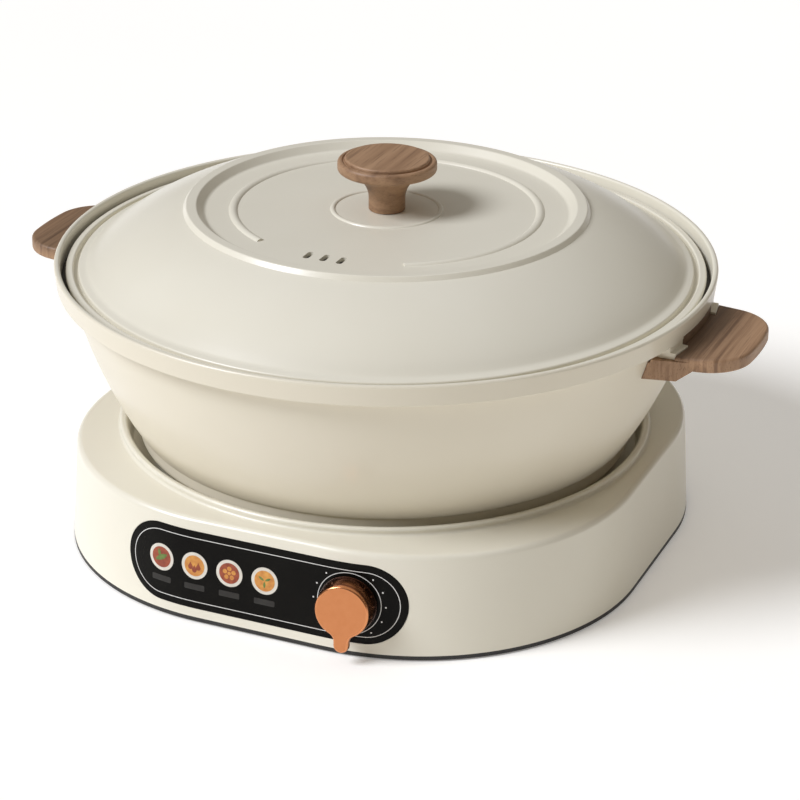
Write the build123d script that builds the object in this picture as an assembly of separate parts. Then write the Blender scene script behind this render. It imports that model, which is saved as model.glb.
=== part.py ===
import math
import os

from build123d import *

# Divided electric hot pot: heated base, lift-off pot with an S-shaped divider, lift-off lid.
# Millimetres, +Z up, table at z = 0, pot axis on the Z axis, control panel towards -Y.

# Clearances
seat_gap = 0.3        # between pieces that lift apart or slide
fit_gap = 0.15        # between pieces that stay together
press_gap = 0.05      # radial, in a thread or on a pressed shaft
shaft_gap = 0.08      # radial, round the control shaft
edge_share = 0.4      # rounds on small pieces, as a share of their thickness

# Pot
rim_r = 165.0
pot_sink = 5.6        # pot's bottom below the base's top
pot_height = 95.1
rim_edge = 2.4
rim_round = 0.9
band_height = 10.6
band_w = 8.5          # how far the rim stands out from the wall's top
band_lean = 1.2
rim_draw = 0.9        # how far the rim's inside draws in towards the ledge
ledge_drop = 7.9
ledge_gap = 2.6       # between the lid's flange and the rim's inside
pot_wall = 3.0
pot_floor = 3.2
pot_taper = 29.6      # how far the wall draws in between its top and its lower edge
wall_rise = 3.4       # how far the wall's arc stands out from its chord
throat = 2.6          # concave round under the band
foot_height = 10.4
foot_step = 1.3
foot_lean = 0.7
foot_round = 4.6

# Divider inside the pot
divider_t = 3.2
divider_bow = 38.0    # how far each half of the S swings out
divider_headroom = 18.0
divider_overrun = 1.12

# Handles
handle_reach = 29.4   # beyond the rim
handle_root_half = 39.0
handle_end_in = 7.0   # these are measured in from the root's half width
lug_in = 4.5
notch_in = 17.0
handle_screw_in = 13.0
handle_end_drop = 3.6
handle_round_share = 0.82
paddle_drop = 3.2     # paddle's top below the band
paddle_t = 7.0
paddle_round = 1.5
root_depth = 5.2
root_flare = 3.5      # how far the root is wider than the paddle where it meets the wall
root_slope = 6.8
lug_reach = 1.4
lug_drop = 2.3        # ears' top below the band
lug_t = 3.0
notch_height = 4.2
notch_depth = 1.2
tongue_t = 1.4
handle_screw_r = 2.0
handle_screw_head_r = 3.6
handle_screw_head_t = 2.2
handle_screw_inset = 7.4
handle_blank_inset = 20.0

# Lid
lid_rise = 22.7       # plateau above the rim
lid_t = 2.0
flange_t = 1.6
flange_w = 3.6
flange_lift = 1.6     # flange above the foot that sits on the ledge
lid_foot_w = 3.0
lid_groove_w = 2.8
lid_groove_d = 2.0
dome_rise = 3.0
shoulder_w = 5.0      # gentle step between the dome and the groove
shoulder_rise = 4.6
shoulder_fall = 1.3
shoulder_round = 1.4
lid_skirt_drop = 4.0
lid_skirt_t = 1.8
ring_r = 100.8
ring_top_w = 5.0
ring_height = 2.4
ring_foot_rise = 1.2
ring_flank = 1.6
ring_slope = 3.8
bead_inset = 24.8     # from the ring's outside
bead_w = 4.4
bead_height = 1.1
bead_gap_angle = 29.5
hub_bead_gap = 17.6   # from the stem's foot
hub_bead_w = 2.6
hub_bead_height = 0.8
vent_count = 3
vent_pitch = 8.6
vent_length = 8.6
vent_width = 3.2
vent_inset = 2.6      # from the bead's middle

# Lid knob
grip_height = 27.2    # above the plateau
grip_r = 24.6
grip_edge = 3.4
grip_step = 1.4
grip_groove = 0.7
grip_t = 5.6
grip_drop = 2.2       # how far the underside falls towards the stem
grip_round = 1.6
stem_r = 8.6
stem_foot = 0.6
stem_flare = 3.6
stem_throat = 4.2
knob_screw_r = 2.0
knob_screw_head_r = 5.0
knob_screw_head_t = 2.4
knob_screw_bite = 12.0
knob_washer_r = 9.0
knob_washer_t = 1.2

# Base
base_top_z = 53.6
cover_z = 0.8
cover_t = 2.0
base_lean = 3.6       # how far the wall leans in between the table and the top
base_corner = 115.0
base_wall = 3.0
base_round = 2.8
well_gap = 4.2        # between the pot's lower edge and the mouth of the recess
lip_height = 3.4
lip_w = 6.0
lip_crest = 2.2
side_ledge_x = 10.9
side_ledge_y = 11.9
well_taper = 2.0
well_drop = 3.1       # recess floor below the heating plate's face

# Heating plate and what hangs from it
plate_inset = 19.9    # from the pot's foot
plate_t = 6.0
plate_gap = 1.0
plate_chamfer = 0.8
rib_w = 13.0
rib_depth = 5.0
element_inset = 27.0  # these are measured from the plate's edge
post_inset = 12.0
shield_inset = 2.0
shield_screw_out = 8.0
shield_flange_out = 14.0
element_tube_r = 3.3
element_gap_angle = 22.0
terminal_drop = 6.0
post_r = 4.5
post_count = 3
shield_drop = 11.7    # below the middle of the heating element
shield_t = 0.8
shield_flange_drop = 6.8
shield_boss_r = 4.0
shield_screw_angle = 30.0
cutout_r = 8.2
cutout_t = 7.0
cutout_reach = 45.0

# Temperature probe
probe_r = 11.5
probe_wall = 1.0
probe_depth = 11.0
probe_travel = 3.0
sleeve_wall = 2.4
sleeve_foot = 3.6
sleeve_foot_t = 1.5
sleeve_floor = 1.4
sleeve_drop = 4.6
probe_hole_gap = 1.2
spring_inset = 4.1    # from the probe's outside
spring_wire_r = 0.6
spring_turns = 5

# Front panel and control
panel_length = 146.0
panel_low = 7.4       # from the table
panel_high = 6.2      # from the base's top
panel_t = 1.5
panel_proud = 0.2
window = 9.0
window_count = 5
window_pitch = 15.7
window_inset = 17.5   # from the panel's left end
window_lift = 1.5     # above the panel's middle
control_inset = 27.6  # from the panel's right end
control_drop = 0.3    # below the panel's middle
dial_r = 14.2
dial_taper = 1.3
dial_height = 11.2
dial_gap = 0.9
dial_wall = 1.8
dial_face_t = 2.6
dial_round = 0.45
dial_hub_wall = 1.8
pointer_length = 7.7  # beyond the dial's face
pointer_w = 7.0
pointer_flare = 4.5
shaft_r = 3.0
bushing_wall = 1.5
bushing_proud = 2.2
nut_margin = 1.0
nut_t = 1.9
switch_size = 18.0
switch_depth = 9.0
switch_pad_r = 11.0
switch_pad_t = 3.0
spot_margin = 1.9
spot_depth = 0.3

# Control board
board_gap = 5.4
board_end = 8.5       # beyond the first window's middle
board_far_end = 12.7  # beyond the last window's middle
board_below = 13.4    # these are measured from the panel's middle
board_above = 13.6
board_t = 1.6
board_margin = 4.0
board_post_r = 3.0
lamp_r = 2.0
lamp_length = 3.0

# Power inlet
inlet_lift = 0.6      # above the panel's middle
inlet_w = 30.0
inlet_h = 22.0
inlet_depth = 22.0
inlet_flange = 3.5
inlet_flange_t = 2.0
inlet_wall = 2.8
inlet_back = 4.0
inlet_round = 2.5
pin_w = 2.0
pin_h = 4.0
pin_pitch = 7.0
pin_stagger = 3.6
pin_short = 5.0
pin_tail = 6.0

# Cover, feet and screws
foot_r = 9.0
foot_inset = 26.0
foot_angle = 56.0
foot_stem_r = 3.0
foot_head_r = 3.9
foot_head_t = 1.4
boss_r = 5.5
boss_angle = 22.0
boss_bite = 1.0
cup_r = 7.5
cup_floor = 1.5
cup_height = 5.0
cover_rim_t = 1.6
cover_rim_h = 4.0
vent_slot_count = 9
vent_slot_pitch = 11.0
vent_slot_w = 4.0
vent_slot_length = 70.0
screw_r = 1.5
screw_head_r = 3.2
screw_head_t = 2.0
screw_bite = 7.0

# Heights and radii worked out from the sizes above
pot_bottom_z = base_top_z - pot_sink
pot_edge_z = pot_bottom_z + foot_height
rim_z = pot_bottom_z + pot_height
band_z = rim_z - band_height
band_foot_r = rim_r - band_lean
wall_top_r = rim_r - band_w
wall_top_z = band_z - throat
pot_edge_r = wall_top_r - pot_taper
ledge_z = rim_z - ledge_drop
rim_inner_r = rim_r - rim_edge
ledge_r = rim_inner_r - rim_draw
cavity_top_r = wall_top_r - pot_wall
cavity_edge_r = pot_edge_r - pot_wall
cavity_floor_z = pot_bottom_z + pot_floor
pot_foot_r = pot_edge_r - foot_step - foot_lean
handle_tip_x = rim_r + handle_reach
handle_end_half = handle_root_half - handle_end_in
handle_end_round = handle_round_share * (handle_reach - lug_reach)
handle_screw_y = handle_root_half - handle_screw_in
lug_half = handle_root_half - lug_in
lug_top_z = band_z - lug_drop
lug_z = lug_top_z - lug_t
lug_x = rim_r + lug_reach
slot_x = lug_x + fit_gap
paddle_top_z = band_z - paddle_drop
paddle_z = paddle_top_z - paddle_t
root_z = paddle_z - root_depth
notch_half = handle_root_half - notch_in
notch_top_z = lug_top_z + notch_height
notch_r = band_foot_r - notch_depth
handle_screw_x = lug_x - handle_screw_inset
plateau_z = rim_z + lid_rise
ring_foot_z = plateau_z + ring_foot_rise
bead_r = ring_r - bead_inset
vent_r = bead_r - vent_inset
flange_z = ledge_z + seat_gap
flange_r = ledge_r - ledge_gap
shoulder_r = flange_r - flange_w - lid_groove_w
dome_r = shoulder_r - shoulder_w
skirt_r = cavity_top_r - 2 * seat_gap
lid_foot_r = skirt_r + lid_foot_w
grip_top_z = plateau_z + grip_height
grip_inset_r = grip_r - grip_edge
stem_foot_r = stem_r + stem_foot
hub_bead_r = stem_foot_r + hub_bead_gap
plate_z = pot_bottom_z - seat_gap
well_floor_z = plate_z - well_drop
mouth_r = pot_edge_r + well_gap
lip_z = base_top_z + lip_height
lip_r = mouth_r + lip_w
well_floor_r = mouth_r - well_taper
base_half_x = lip_r + side_ledge_x
base_half_y = lip_r + side_ledge_y
cover_top_z = cover_z + cover_t
corner_x = base_half_x - base_corner
corner_y = base_half_y - base_corner
draft = math.atan2(base_lean, base_top_z)
floor_under_z = well_floor_z - base_wall
plate_r = pot_foot_r - plate_inset
plate_under_z = plate_z - plate_t
element_r = plate_r - element_inset
element_z = plate_under_z - rib_depth
post_circle = plate_r - post_inset
shield_r = plate_r - shield_inset
shield_screw_circle = plate_r + shield_screw_out
shield_flange_r = plate_r + shield_flange_out
shield_flange_z = floor_under_z - shield_flange_drop
shield_z = element_z - shield_drop
terminal_z = shield_z - terminal_drop
probe_bore_r = probe_r + seat_gap
sleeve_r = probe_bore_r + sleeve_wall
probe_hole_r = sleeve_r + probe_hole_gap
sleeve_z = shield_z + shield_t
sleeve_top_z = plate_z - sleeve_drop
spring_r = probe_r - spring_inset
spring_low_z = sleeve_z + sleeve_floor
spring_high_z = plate_z - probe_wall
panel_height = base_top_z - panel_low - panel_high
panel_z = panel_low + panel_height / 2
window_first_x = window_inset - panel_length / 2
window_last_x = window_first_x + (window_count - 1) * window_pitch
window_z = panel_z + window_lift
control_x = panel_length / 2 - control_inset
control_z = panel_z - control_drop
dial_face_r = dial_r - dial_taper
dial_hub_r = shaft_r + dial_hub_wall
pointer_reach = dial_face_r + pointer_length
bushing_r = shaft_r + bushing_wall
nut_flats = 2 * (bushing_r + nut_margin)
spot_r = nut_flats / 2 + spot_margin
board_left_x = window_first_x - board_end
board_right_x = window_last_x + board_far_end
board_low_z = panel_z - board_below
board_high_z = panel_z + board_above
board_y = -(base_half_y - base_lean - base_wall) + board_gap
inlet_z = panel_z + inlet_lift
inlet_cavity_w = inlet_w - 2 * inlet_wall
inlet_cavity_h = inlet_h - 2 * inlet_wall
inlet_cavity_depth = inlet_depth - inlet_back
cup_top_z = cover_top_z + cup_height


def lean(z):
    return base_lean * z / base_top_z


def wall_y(x, z):
    # distance from the middle to the front or rear wall's outside at a given x and height
    radius = base_corner - lean(z)
    off = max(abs(x) - corner_x, 0.0)
    return corner_y + math.sqrt(radius * radius - off * off)


def around(count, radius, first=0.0):
    step = 360.0 / count
    angles = [math.radians(first + step * i) for i in range(count)]
    return [(radius * math.cos(a), radius * math.sin(a)) for a in angles]


def corners(angle, inset):
    # one place in each rounded corner of the base, measured from the corner's own centre
    reach = base_corner - inset
    x = corner_x + reach * math.cos(math.radians(angle))
    y = corner_y + reach * math.sin(math.radians(angle))
    return [(sx * x, sy * y) for sx in (1, -1) for sy in (1, -1)]


def upright(radius, low, high, x=0.0, y=0.0):
    # a vertical cylinder between two heights
    return Pos(x, y, low) * Cylinder(radius, high - low, align=(Align.CENTER, Align.CENTER, Align.MIN))


def block(low, high):
    # a box between two opposite corners
    size = [b - a for a, b in zip(low, high)]
    middle = [(a + b) / 2 for a, b in zip(low, high)]
    return Pos(*middle) * Box(*size)


def spin(edges):
    # a solid of revolution from edges drawn as radius and height
    return revolve(Plane.XZ * make_face(edges), Axis.Z)


def quarter(start, end, level_first=False):
    # a quarter round between two points, which leaves its start upright unless told to leave it level
    (x0, y0), (x1, y1) = start, end
    bend = math.sqrt(0.5)
    if level_first:
        middle = (x0 + (x1 - x0) * bend, y1 + (y0 - y1) * bend)
    else:
        middle = (x1 + (x0 - x1) * bend, y0 + (y1 - y0) * bend)
    return ThreePointArc(start, middle, end)


def tapered(low, high, inset):
    # the base's rounded outline drawn between two heights, following the lean of its wall
    sections = []
    for z in (low, high):
        inward = inset + lean(z)
        outline = RectangleRounded(
            2 * (base_half_x - inward), 2 * (base_half_y - inward), base_corner - inward)
        sections.append(Pos(0, 0, z) * outline)
    return loft(sections, ruled=True)


def screw(x, y, seat, bite, shank_r=screw_r, head_r=screw_head_r, head_t=screw_head_t):
    # a pan-head screw driven upwards, with its head under the seat
    shank = upright(shank_r, seat, seat + bite, x, y)
    head = upright(head_r, seat - head_t, seat, x, y)
    rim = head.edges().group_by(Axis.Z)[0]
    return shank + fillet(rim, edge_share * head_t)


# Pot


def pot_outside(grow=0.0):
    # the pot filled solid, larger by grow where the handles meet it
    foot = pot_foot_r + grow
    edge = pot_edge_r + grow
    top = wall_top_r + grow
    low = pot_bottom_z
    band = band_z - grow
    throat_z = wall_top_z - grow
    edges = [
        Line((0, low), (foot - foot_round, low)),
        quarter((foot - foot_round, low), (foot, low + foot_round), level_first=True),
        Line((foot, low + foot_round), (foot + foot_lean, pot_edge_z - foot_step)),
        Line((foot + foot_lean, pot_edge_z - foot_step), (edge, pot_edge_z)),
        SagittaArc((edge, pot_edge_z), (top, throat_z), -wall_rise),
        quarter((top, throat_z), (top + throat, band)),
        Line((top + throat, band), (band_foot_r + grow, band)),
        Line((band_foot_r + grow, band), (rim_r + grow, rim_z - rim_round)),
        quarter((rim_r + grow, rim_z - rim_round), (rim_r + grow - rim_round, rim_z)),
        Line((rim_r + grow - rim_round, rim_z), (0, rim_z)),
        Line((0, rim_z), (0, low)),
    ]
    return spin(edges)


def pot_cavity():
    bend = pot_edge_z - cavity_floor_z
    edges = [
        Line((0, cavity_floor_z), (cavity_edge_r - bend, cavity_floor_z)),
        quarter((cavity_edge_r - bend, cavity_floor_z), (cavity_edge_r, pot_edge_z), level_first=True),
        SagittaArc((cavity_edge_r, pot_edge_z), (cavity_top_r, wall_top_z), -wall_rise),
        Line((cavity_top_r, wall_top_z), (cavity_top_r, ledge_z)),
        Line((cavity_top_r, ledge_z), (ledge_r, ledge_z)),
        Line((ledge_r, ledge_z), (rim_inner_r, rim_z)),
        Line((rim_inner_r, rim_z), (0, rim_z)),
        Line((0, rim_z), (0, cavity_floor_z)),
    ]
    return spin(edges)


def lug(side, grow=0.0):
    # the cast metal under the band that carries a handle, parted into two ears by the notch
    inner = side * (wall_top_r - handle_blank_inset)
    outer = side * (lug_x + grow)
    low = lug_z - grow
    near = (min(inner, outer), -lug_half - grow, low)
    far = (max(inner, outer), lug_half + grow, band_z + throat)
    shelf = block(near, far) & upright(lug_x + grow, low, lug_top_z + grow)
    collar = block(near, far) & upright(band_foot_r + grow, low, band_z + throat)
    return shelf + collar


def notch(side, shrink=0.0):
    # the cut in the band that a handle's tongue fills
    half = notch_half - shrink
    far = side * (rim_r + tongue_t + lug_reach)
    low = (min(0, far), -half, lug_z - lug_t)
    high = (max(0, far), half, notch_top_z - shrink)
    return block(low, high) - upright(notch_r + shrink, lug_z - lug_t, rim_z)


def handle_screw_places():
    return [(side * handle_screw_x, y) for side in (1, -1) for y in (handle_screw_y, -handle_screw_y)]


def pot_body():
    body = pot_outside() + lug(1) + lug(-1) - pot_cavity()
    body -= notch(1)
    body -= notch(-1)
    for x, y in handle_screw_places():
        body -= upright(handle_screw_r, lug_z, lug_top_z - fit_gap, x, y)
    return body


def divider_half():
    # one bow of the S, from the middle of the pot to past its wall
    chord = wall_top_r * divider_overrun
    radius = (chord * chord / 4 + divider_bow * divider_bow) / (2 * divider_bow)
    centre = Pos(divider_bow - radius, -chord / 2)
    spread = math.degrees(math.asin(chord / 2 / radius))
    outer = CenterArc((0, 0), radius + divider_t / 2, -spread, 2 * spread)
    inner = CenterArc((0, 0), radius - divider_t / 2, -spread, 2 * spread)
    sector = make_face([outer, inner, Line(outer @ 0, inner @ 0), Line(outer @ 1, inner @ 1)])
    return centre * sector


def pot_divider():
    half = divider_half()
    shape = half + Rot(0, 0, 180) * half + Circle(divider_t / 2)
    top = ledge_z - divider_headroom
    wall = Pos(0, 0, cavity_floor_z) * extrude(shape, top - cavity_floor_z)
    crest = wall.faces().sort_by(Axis.Z)[-1].edges()
    long_edges = [e for e in crest if e.length > 2 * divider_t]
    wall = fillet(long_edges, edge_share * divider_t)
    return wall & pot_cavity()


def tongue():
    # the wood between the ears, which turns up into the notch with its face flush with the band
    low = paddle_z + paddle_round
    top = notch_top_z - fit_gap
    inner = notch_r - pot_wall
    outer = slot_x + tongue_t
    rise = band_lean * (top - band_z) / band_height
    profile = Polyline(
        (inner, low), (outer, low), (outer, paddle_top_z), (band_foot_r, paddle_top_z),
        (band_foot_r + rise, top), (inner, top), close=True)
    half = notch_half - fit_gap
    return spin(profile) & block((0, -half, low), (2 * rim_r, half, top))


def handle_plan():
    # the handle's outline from above, its far corners rounded
    inner = wall_top_r - handle_blank_inset
    end_x = handle_tip_x - handle_end_drop
    upper = Line((inner, handle_root_half), (end_x, handle_end_half))
    lower = Line((inner, -handle_root_half), (end_x, -handle_end_half))
    tip = ThreePointArc((end_x, handle_end_half), (handle_tip_x, 0), (end_x, -handle_end_half))
    back = Line((inner, handle_root_half), (inner, -handle_root_half))
    plan = make_face([upper, lower, tip, back])
    return fillet(plan.vertices().group_by(Axis.X)[-1], handle_end_round)


def handle():
    # a wooden handle for the +X side: root under the band, paddle outside it, tongue in the notch
    inner = wall_top_r - handle_blank_inset
    heel = slot_x - root_depth / 2
    toe = heel + root_slope
    under = lug_z - fit_gap
    wood = Pos(0, 0, paddle_z) * extrude(handle_plan(), paddle_t)
    rims = [f for f in wood.faces().filter_by(Axis.Z)]
    soft = [e for f in rims for e in f.edges() if e.center().X > inner + paddle_round]
    wood = fillet(soft, paddle_round)
    profile = Polyline(
        (inner, root_z), (heel, root_z), (toe, paddle_z), (toe, paddle_z + paddle_round),
        (inner, under), close=True)
    root = extrude(Plane.XZ * make_face(profile), 2 * handle_root_half, both=True)
    share = (toe - inner) / (handle_tip_x - handle_end_drop - inner)
    narrow = handle_root_half - share * handle_end_in
    wide = handle_root_half + root_flare
    plan = make_face(Polyline((inner, wide), (toe, narrow), (toe, -narrow), (inner, -wide), close=True))
    wood += root & (Pos(0, 0, root_z) * extrude(plan, rim_z - root_z))
    wood -= upright(slot_x, under, rim_z)
    wood += tongue()
    wood -= pot_outside(fit_gap) + lug(1, fit_gap) - notch(1, fit_gap)
    for y in (handle_screw_y, -handle_screw_y):
        seat = root_z + handle_screw_head_t + fit_gap
        wood -= upright(handle_screw_r + fit_gap, root_z, rim_z, handle_screw_x, y)
        wood -= upright(handle_screw_head_r + fit_gap, root_z, seat, handle_screw_x, y)
    return wood


def handle_screws():
    seat = root_z + handle_screw_head_t + fit_gap
    bite = lug_top_z - 2 * fit_gap - seat
    made = [screw(x, y, seat, bite, handle_screw_r, handle_screw_head_r, handle_screw_head_t)
            for x, y in handle_screw_places()]
    return Compound(made)


# Lid


def lid_outside():
    low = flange_z + flange_lift
    top = low + flange_t
    groove = top - lid_groove_d
    step_r = shoulder_r + lid_groove_w
    shoulder_z = groove + shoulder_rise
    edge_z = shoulder_z - shoulder_fall
    edge_r = shoulder_r - shoulder_round
    ring_z = ring_foot_z + ring_height
    crest = ring_r - ring_flank
    inner = crest - ring_top_w
    return [
        Line((flange_r, low), (flange_r, top)),
        Line((flange_r, top), (step_r, top)),
        Line((step_r, top), (step_r, groove)),
        Line((step_r, groove), (shoulder_r, groove)),
        Line((shoulder_r, groove), (shoulder_r, edge_z - shoulder_round)),
        quarter((shoulder_r, edge_z - shoulder_round), (edge_r, edge_z)),
        Line((edge_r, edge_z), (dome_r, shoulder_z)),
        SagittaArc((dome_r, shoulder_z), (ring_r, ring_foot_z), -dome_rise),
        Line((ring_r, ring_foot_z), (crest, ring_z)),
        Line((crest, ring_z), (inner, ring_z)),
        Line((inner, ring_z), (inner - ring_slope, plateau_z)),
        Line((inner - ring_slope, plateau_z), (0, plateau_z)),
    ]


def lid_inside():
    low = plateau_z - lid_t
    ring_low = ring_foot_z + ring_height - lid_t
    crest = ring_r - ring_flank - lid_t
    inner = ring_r - ring_flank - ring_top_w
    skirt_in = skirt_r - lid_skirt_t
    skirt_z = flange_z - lid_skirt_drop
    return [
        Line((0, plateau_z), (0, low)),
        Line((0, low), (inner - ring_slope + lid_t / 2, low)),
        Line((inner - ring_slope + lid_t / 2, low), (inner + lid_t / 2, ring_low)),
        Line((inner + lid_t / 2, ring_low), (crest, ring_low)),
        Line((crest, ring_low), (ring_r - lid_t / 2, ring_foot_z - lid_t)),
        SagittaArc((ring_r - lid_t / 2, ring_foot_z - lid_t), (skirt_in, flange_z), dome_rise),
        Line((skirt_in, flange_z), (skirt_in, skirt_z)),
        Line((skirt_in, skirt_z), (skirt_r, skirt_z)),
        Line((skirt_r, skirt_z), (skirt_r, flange_z)),
        Line((skirt_r, flange_z), (lid_foot_r, flange_z)),
        Line((lid_foot_r, flange_z), (lid_foot_r, flange_z + flange_lift)),
        Line((lid_foot_r, flange_z + flange_lift), (flange_r, flange_z + flange_lift)),
    ]


def raised_bead(radius, width, height, start, sweep):
    # a rounded ridge on the lid's plateau, swept round the axis
    root = plateau_z - lid_t / 2
    left = (radius - width / 2, plateau_z)
    right = (radius + width / 2, plateau_z)
    face = make_face([
        ThreePointArc(left, (radius, plateau_z + height), right),
        Polyline(right, (right[0], root), (left[0], root), left),
    ])
    return revolve(Rot(0, 0, start) * (Plane.XZ * face), Axis.Z, sweep)


def lid():
    body = spin(lid_outside() + lid_inside())
    body += raised_bead(bead_r, bead_w, bead_height, bead_gap_angle - 90, 360 - 2 * bead_gap_angle)
    body += raised_bead(hub_bead_r, hub_bead_w, hub_bead_height, 0, 360)
    first = -(vent_count - 1) / 2 * vent_pitch
    for i in range(vent_count):
        hole = Rot(0, 0, 90) * SlotOverall(vent_length, vent_width)
        body -= Pos(first + i * vent_pitch, -vent_r, plateau_z - 2 * lid_t) * extrude(hole, 3 * lid_t)
    return body - upright(knob_screw_r + fit_gap, plateau_z - 2 * lid_t, rim_z + grip_top_z)


def lid_knob():
    foot = plateau_z + fit_gap
    edge_z = grip_top_z - grip_step
    under_z = edge_z - grip_t
    throat_z = under_z - grip_drop
    throat_r = stem_r + stem_throat
    inset = grip_inset_r + grip_groove
    edges = [
        Line((0, foot), (stem_foot_r, foot)),
        Line((stem_foot_r, foot), (stem_r, foot + stem_flare)),
        Line((stem_r, foot + stem_flare), (stem_r, throat_z - stem_throat)),
        quarter((stem_r, throat_z - stem_throat), (throat_r, throat_z)),
        Line((throat_r, throat_z), (grip_r - grip_round, under_z)),
        quarter((grip_r - grip_round, under_z), (grip_r, under_z + grip_round), level_first=True),
        Line((grip_r, under_z + grip_round), (grip_r, edge_z - grip_round)),
        quarter((grip_r, edge_z - grip_round), (grip_r - grip_round, edge_z)),
        Line((grip_r - grip_round, edge_z), (inset, edge_z)),
        Line((inset, edge_z), (inset, edge_z - grip_groove)),
        Line((inset, edge_z - grip_groove), (grip_inset_r, edge_z - grip_groove)),
        Line((grip_inset_r, edge_z - grip_groove), (grip_inset_r, edge_z)),
        quarter((grip_inset_r, edge_z), (grip_inset_r - grip_step, grip_top_z)),
        Line((grip_inset_r - grip_step, grip_top_z), (0, grip_top_z)),
        Line((0, grip_top_z), (0, foot)),
    ]
    bore = upright(knob_screw_r, foot, foot + knob_screw_bite + fit_gap)
    return spin(edges) - bore


def knob_washer():
    top = plateau_z - lid_t
    washer = upright(knob_washer_r, top - knob_washer_t, top)
    return washer - upright(knob_screw_r + fit_gap, top - knob_washer_t, top)


def knob_screw():
    seat = plateau_z - lid_t - knob_washer_t
    bite = plateau_z + knob_screw_bite - seat
    return screw(0, 0, seat, bite, knob_screw_r, knob_screw_head_r, knob_screw_head_t)


# Base frames for the tilted pieces


def control_plane():
    # on the front wall's outside at the dial, Z along the wall's outward normal
    turn = math.asin(max(control_x - corner_x, 0.0) / (base_corner - lean(control_z)))
    across = (math.cos(turn), math.sin(turn), 0)
    out = (math.sin(turn) * math.cos(draft), -math.cos(turn) * math.cos(draft), math.sin(draft))
    return Plane((control_x, -wall_y(control_x, control_z), control_z), x_dir=across, z_dir=out)


def inlet_plane():
    # on the rear wall's outside at the power inlet
    out = (0, math.cos(draft), math.sin(draft))
    return Plane((0, wall_y(0, inlet_z), inlet_z), x_dir=(-1, 0, 0), z_dir=out)


def disc(radius, low, high):
    return upright(radius, low, high)


# Base


def stadium(grow=0.0):
    # the front panel's outline drawn through the front wall
    shape = SlotOverall(panel_length + 2 * grow, panel_height + 2 * grow)
    front = Plane((0, 0, panel_z), x_dir=(1, 0, 0), z_dir=(0, -1, 0))
    return extrude(front * shape, 2 * base_half_y)


def wall_skin(outside, inside):
    # a layer that follows the wall, between two insets
    low = cover_top_z
    return tapered(low, base_top_z, outside) - tapered(low, base_top_z, inside)


def front_panel():
    panel = wall_skin(-panel_proud, panel_t) & stadium()
    spot = disc(spot_r, -spot_depth, dial_height)
    hole = disc(bushing_r + fit_gap, -switch_depth, dial_height)
    return panel - control_plane() * spot - control_plane() * hole


def lip_ring():
    # the rounded kerb round the recess, falling to the top in an S curve
    crest = (mouth_r + lip_crest, lip_z)
    foot = (lip_r, base_top_z)
    middle = ((crest[0] + foot[0]) / 2, (crest[1] + foot[1]) / 2)
    edges = [
        Line((mouth_r, base_top_z - base_wall), (mouth_r, lip_z - lip_crest)),
        quarter((mouth_r, lip_z - lip_crest), crest),
        TangentArc(crest, middle, tangent=(1, 0)),
        TangentArc(foot, middle, tangent=(-1, 0)),
        Line((lip_r, base_top_z), (lip_r, base_top_z - base_wall)),
        Line((lip_r, base_top_z - base_wall), (mouth_r, base_top_z - base_wall)),
    ]
    return spin(edges)


def well(grow, low):
    edges = [
        Line((0, low), (well_floor_r + grow, low)),
        Line((well_floor_r + grow, low), (mouth_r + grow, lip_z - lip_crest)),
        Line((mouth_r + grow, lip_z - lip_crest), (mouth_r + grow, rim_z)),
        Line((mouth_r + grow, rim_z), (0, rim_z)),
        Line((0, rim_z), (0, low)),
    ]
    return spin(edges)


def board_places():
    xs = (board_left_x + board_margin, board_right_x - board_margin)
    zs = (board_low_z + board_margin, board_high_z - board_margin)
    return [(x, z) for x in xs for z in zs]


def rod(radius, x, z, front, back):
    # a cylinder along Y between two places
    return Pos(x, front, z) * Rot(-90, 0, 0) * disc(radius, 0, back - front)


def boss_places():
    return corners(boss_angle, base_lean + base_wall + boss_r - boss_bite)


def window_places():
    return [window_first_x + window_pitch * i for i in range(window_count)]


def base_shell():
    outer = tapered(cover_top_z, base_top_z, 0)
    outer = fillet(outer.faces().sort_by(Axis.Z)[-1].edges(), base_round)
    inner = tapered(cover_top_z, base_top_z - base_wall, base_wall)
    shell = outer + lip_ring() - (inner - well(base_wall, floor_under_z))
    for x, y in boss_places():
        shell += upright(boss_r, cup_top_z, base_top_z - base_wall / 2, x, y)
    for x, y in around(post_count, shield_screw_circle, shield_screw_angle):
        shell += upright(shield_boss_r, shield_flange_z, floor_under_z + base_wall / 2, x, y)
    for x, z in board_places():
        shell += rod(board_post_r, x, z, -wall_y(x, z) + base_wall / 2, board_y)
    shell += control_plane() * disc(switch_pad_r, -base_wall - switch_pad_t, -base_wall / 2)
    shell -= well(0, well_floor_z)
    shell -= upright(plate_r + plate_gap, cover_top_z, rim_z)
    shell -= wall_skin(-2 * panel_proud, panel_t + fit_gap) & stadium(fit_gap)
    shell -= control_plane() * disc(bushing_r + fit_gap, -2 * switch_depth, dial_height)
    for x in window_places():
        half = window / 2
        front = -wall_y(x, window_z)
        back = front + 2 * base_wall
        shell -= block((x - half, front, window_z - half), (x + half, back, window_z + half))
    for x, y in boss_places():
        shell -= upright(screw_r, cup_top_z, cup_top_z + screw_bite, x, y)
    for x, y in around(post_count, shield_screw_circle, shield_screw_angle):
        shell -= upright(screw_r, shield_flange_z, floor_under_z, x, y)
    for x, z in board_places():
        shell -= rod(screw_r, x, z, board_y - screw_bite / 2, board_y)
    socket = Pos(0, 0, -inlet_depth) * extrude(
        RectangleRounded(inlet_w + 2 * fit_gap, inlet_h + 2 * fit_gap, inlet_round), 2 * inlet_depth)
    return shell - inlet_plane() * socket


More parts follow.
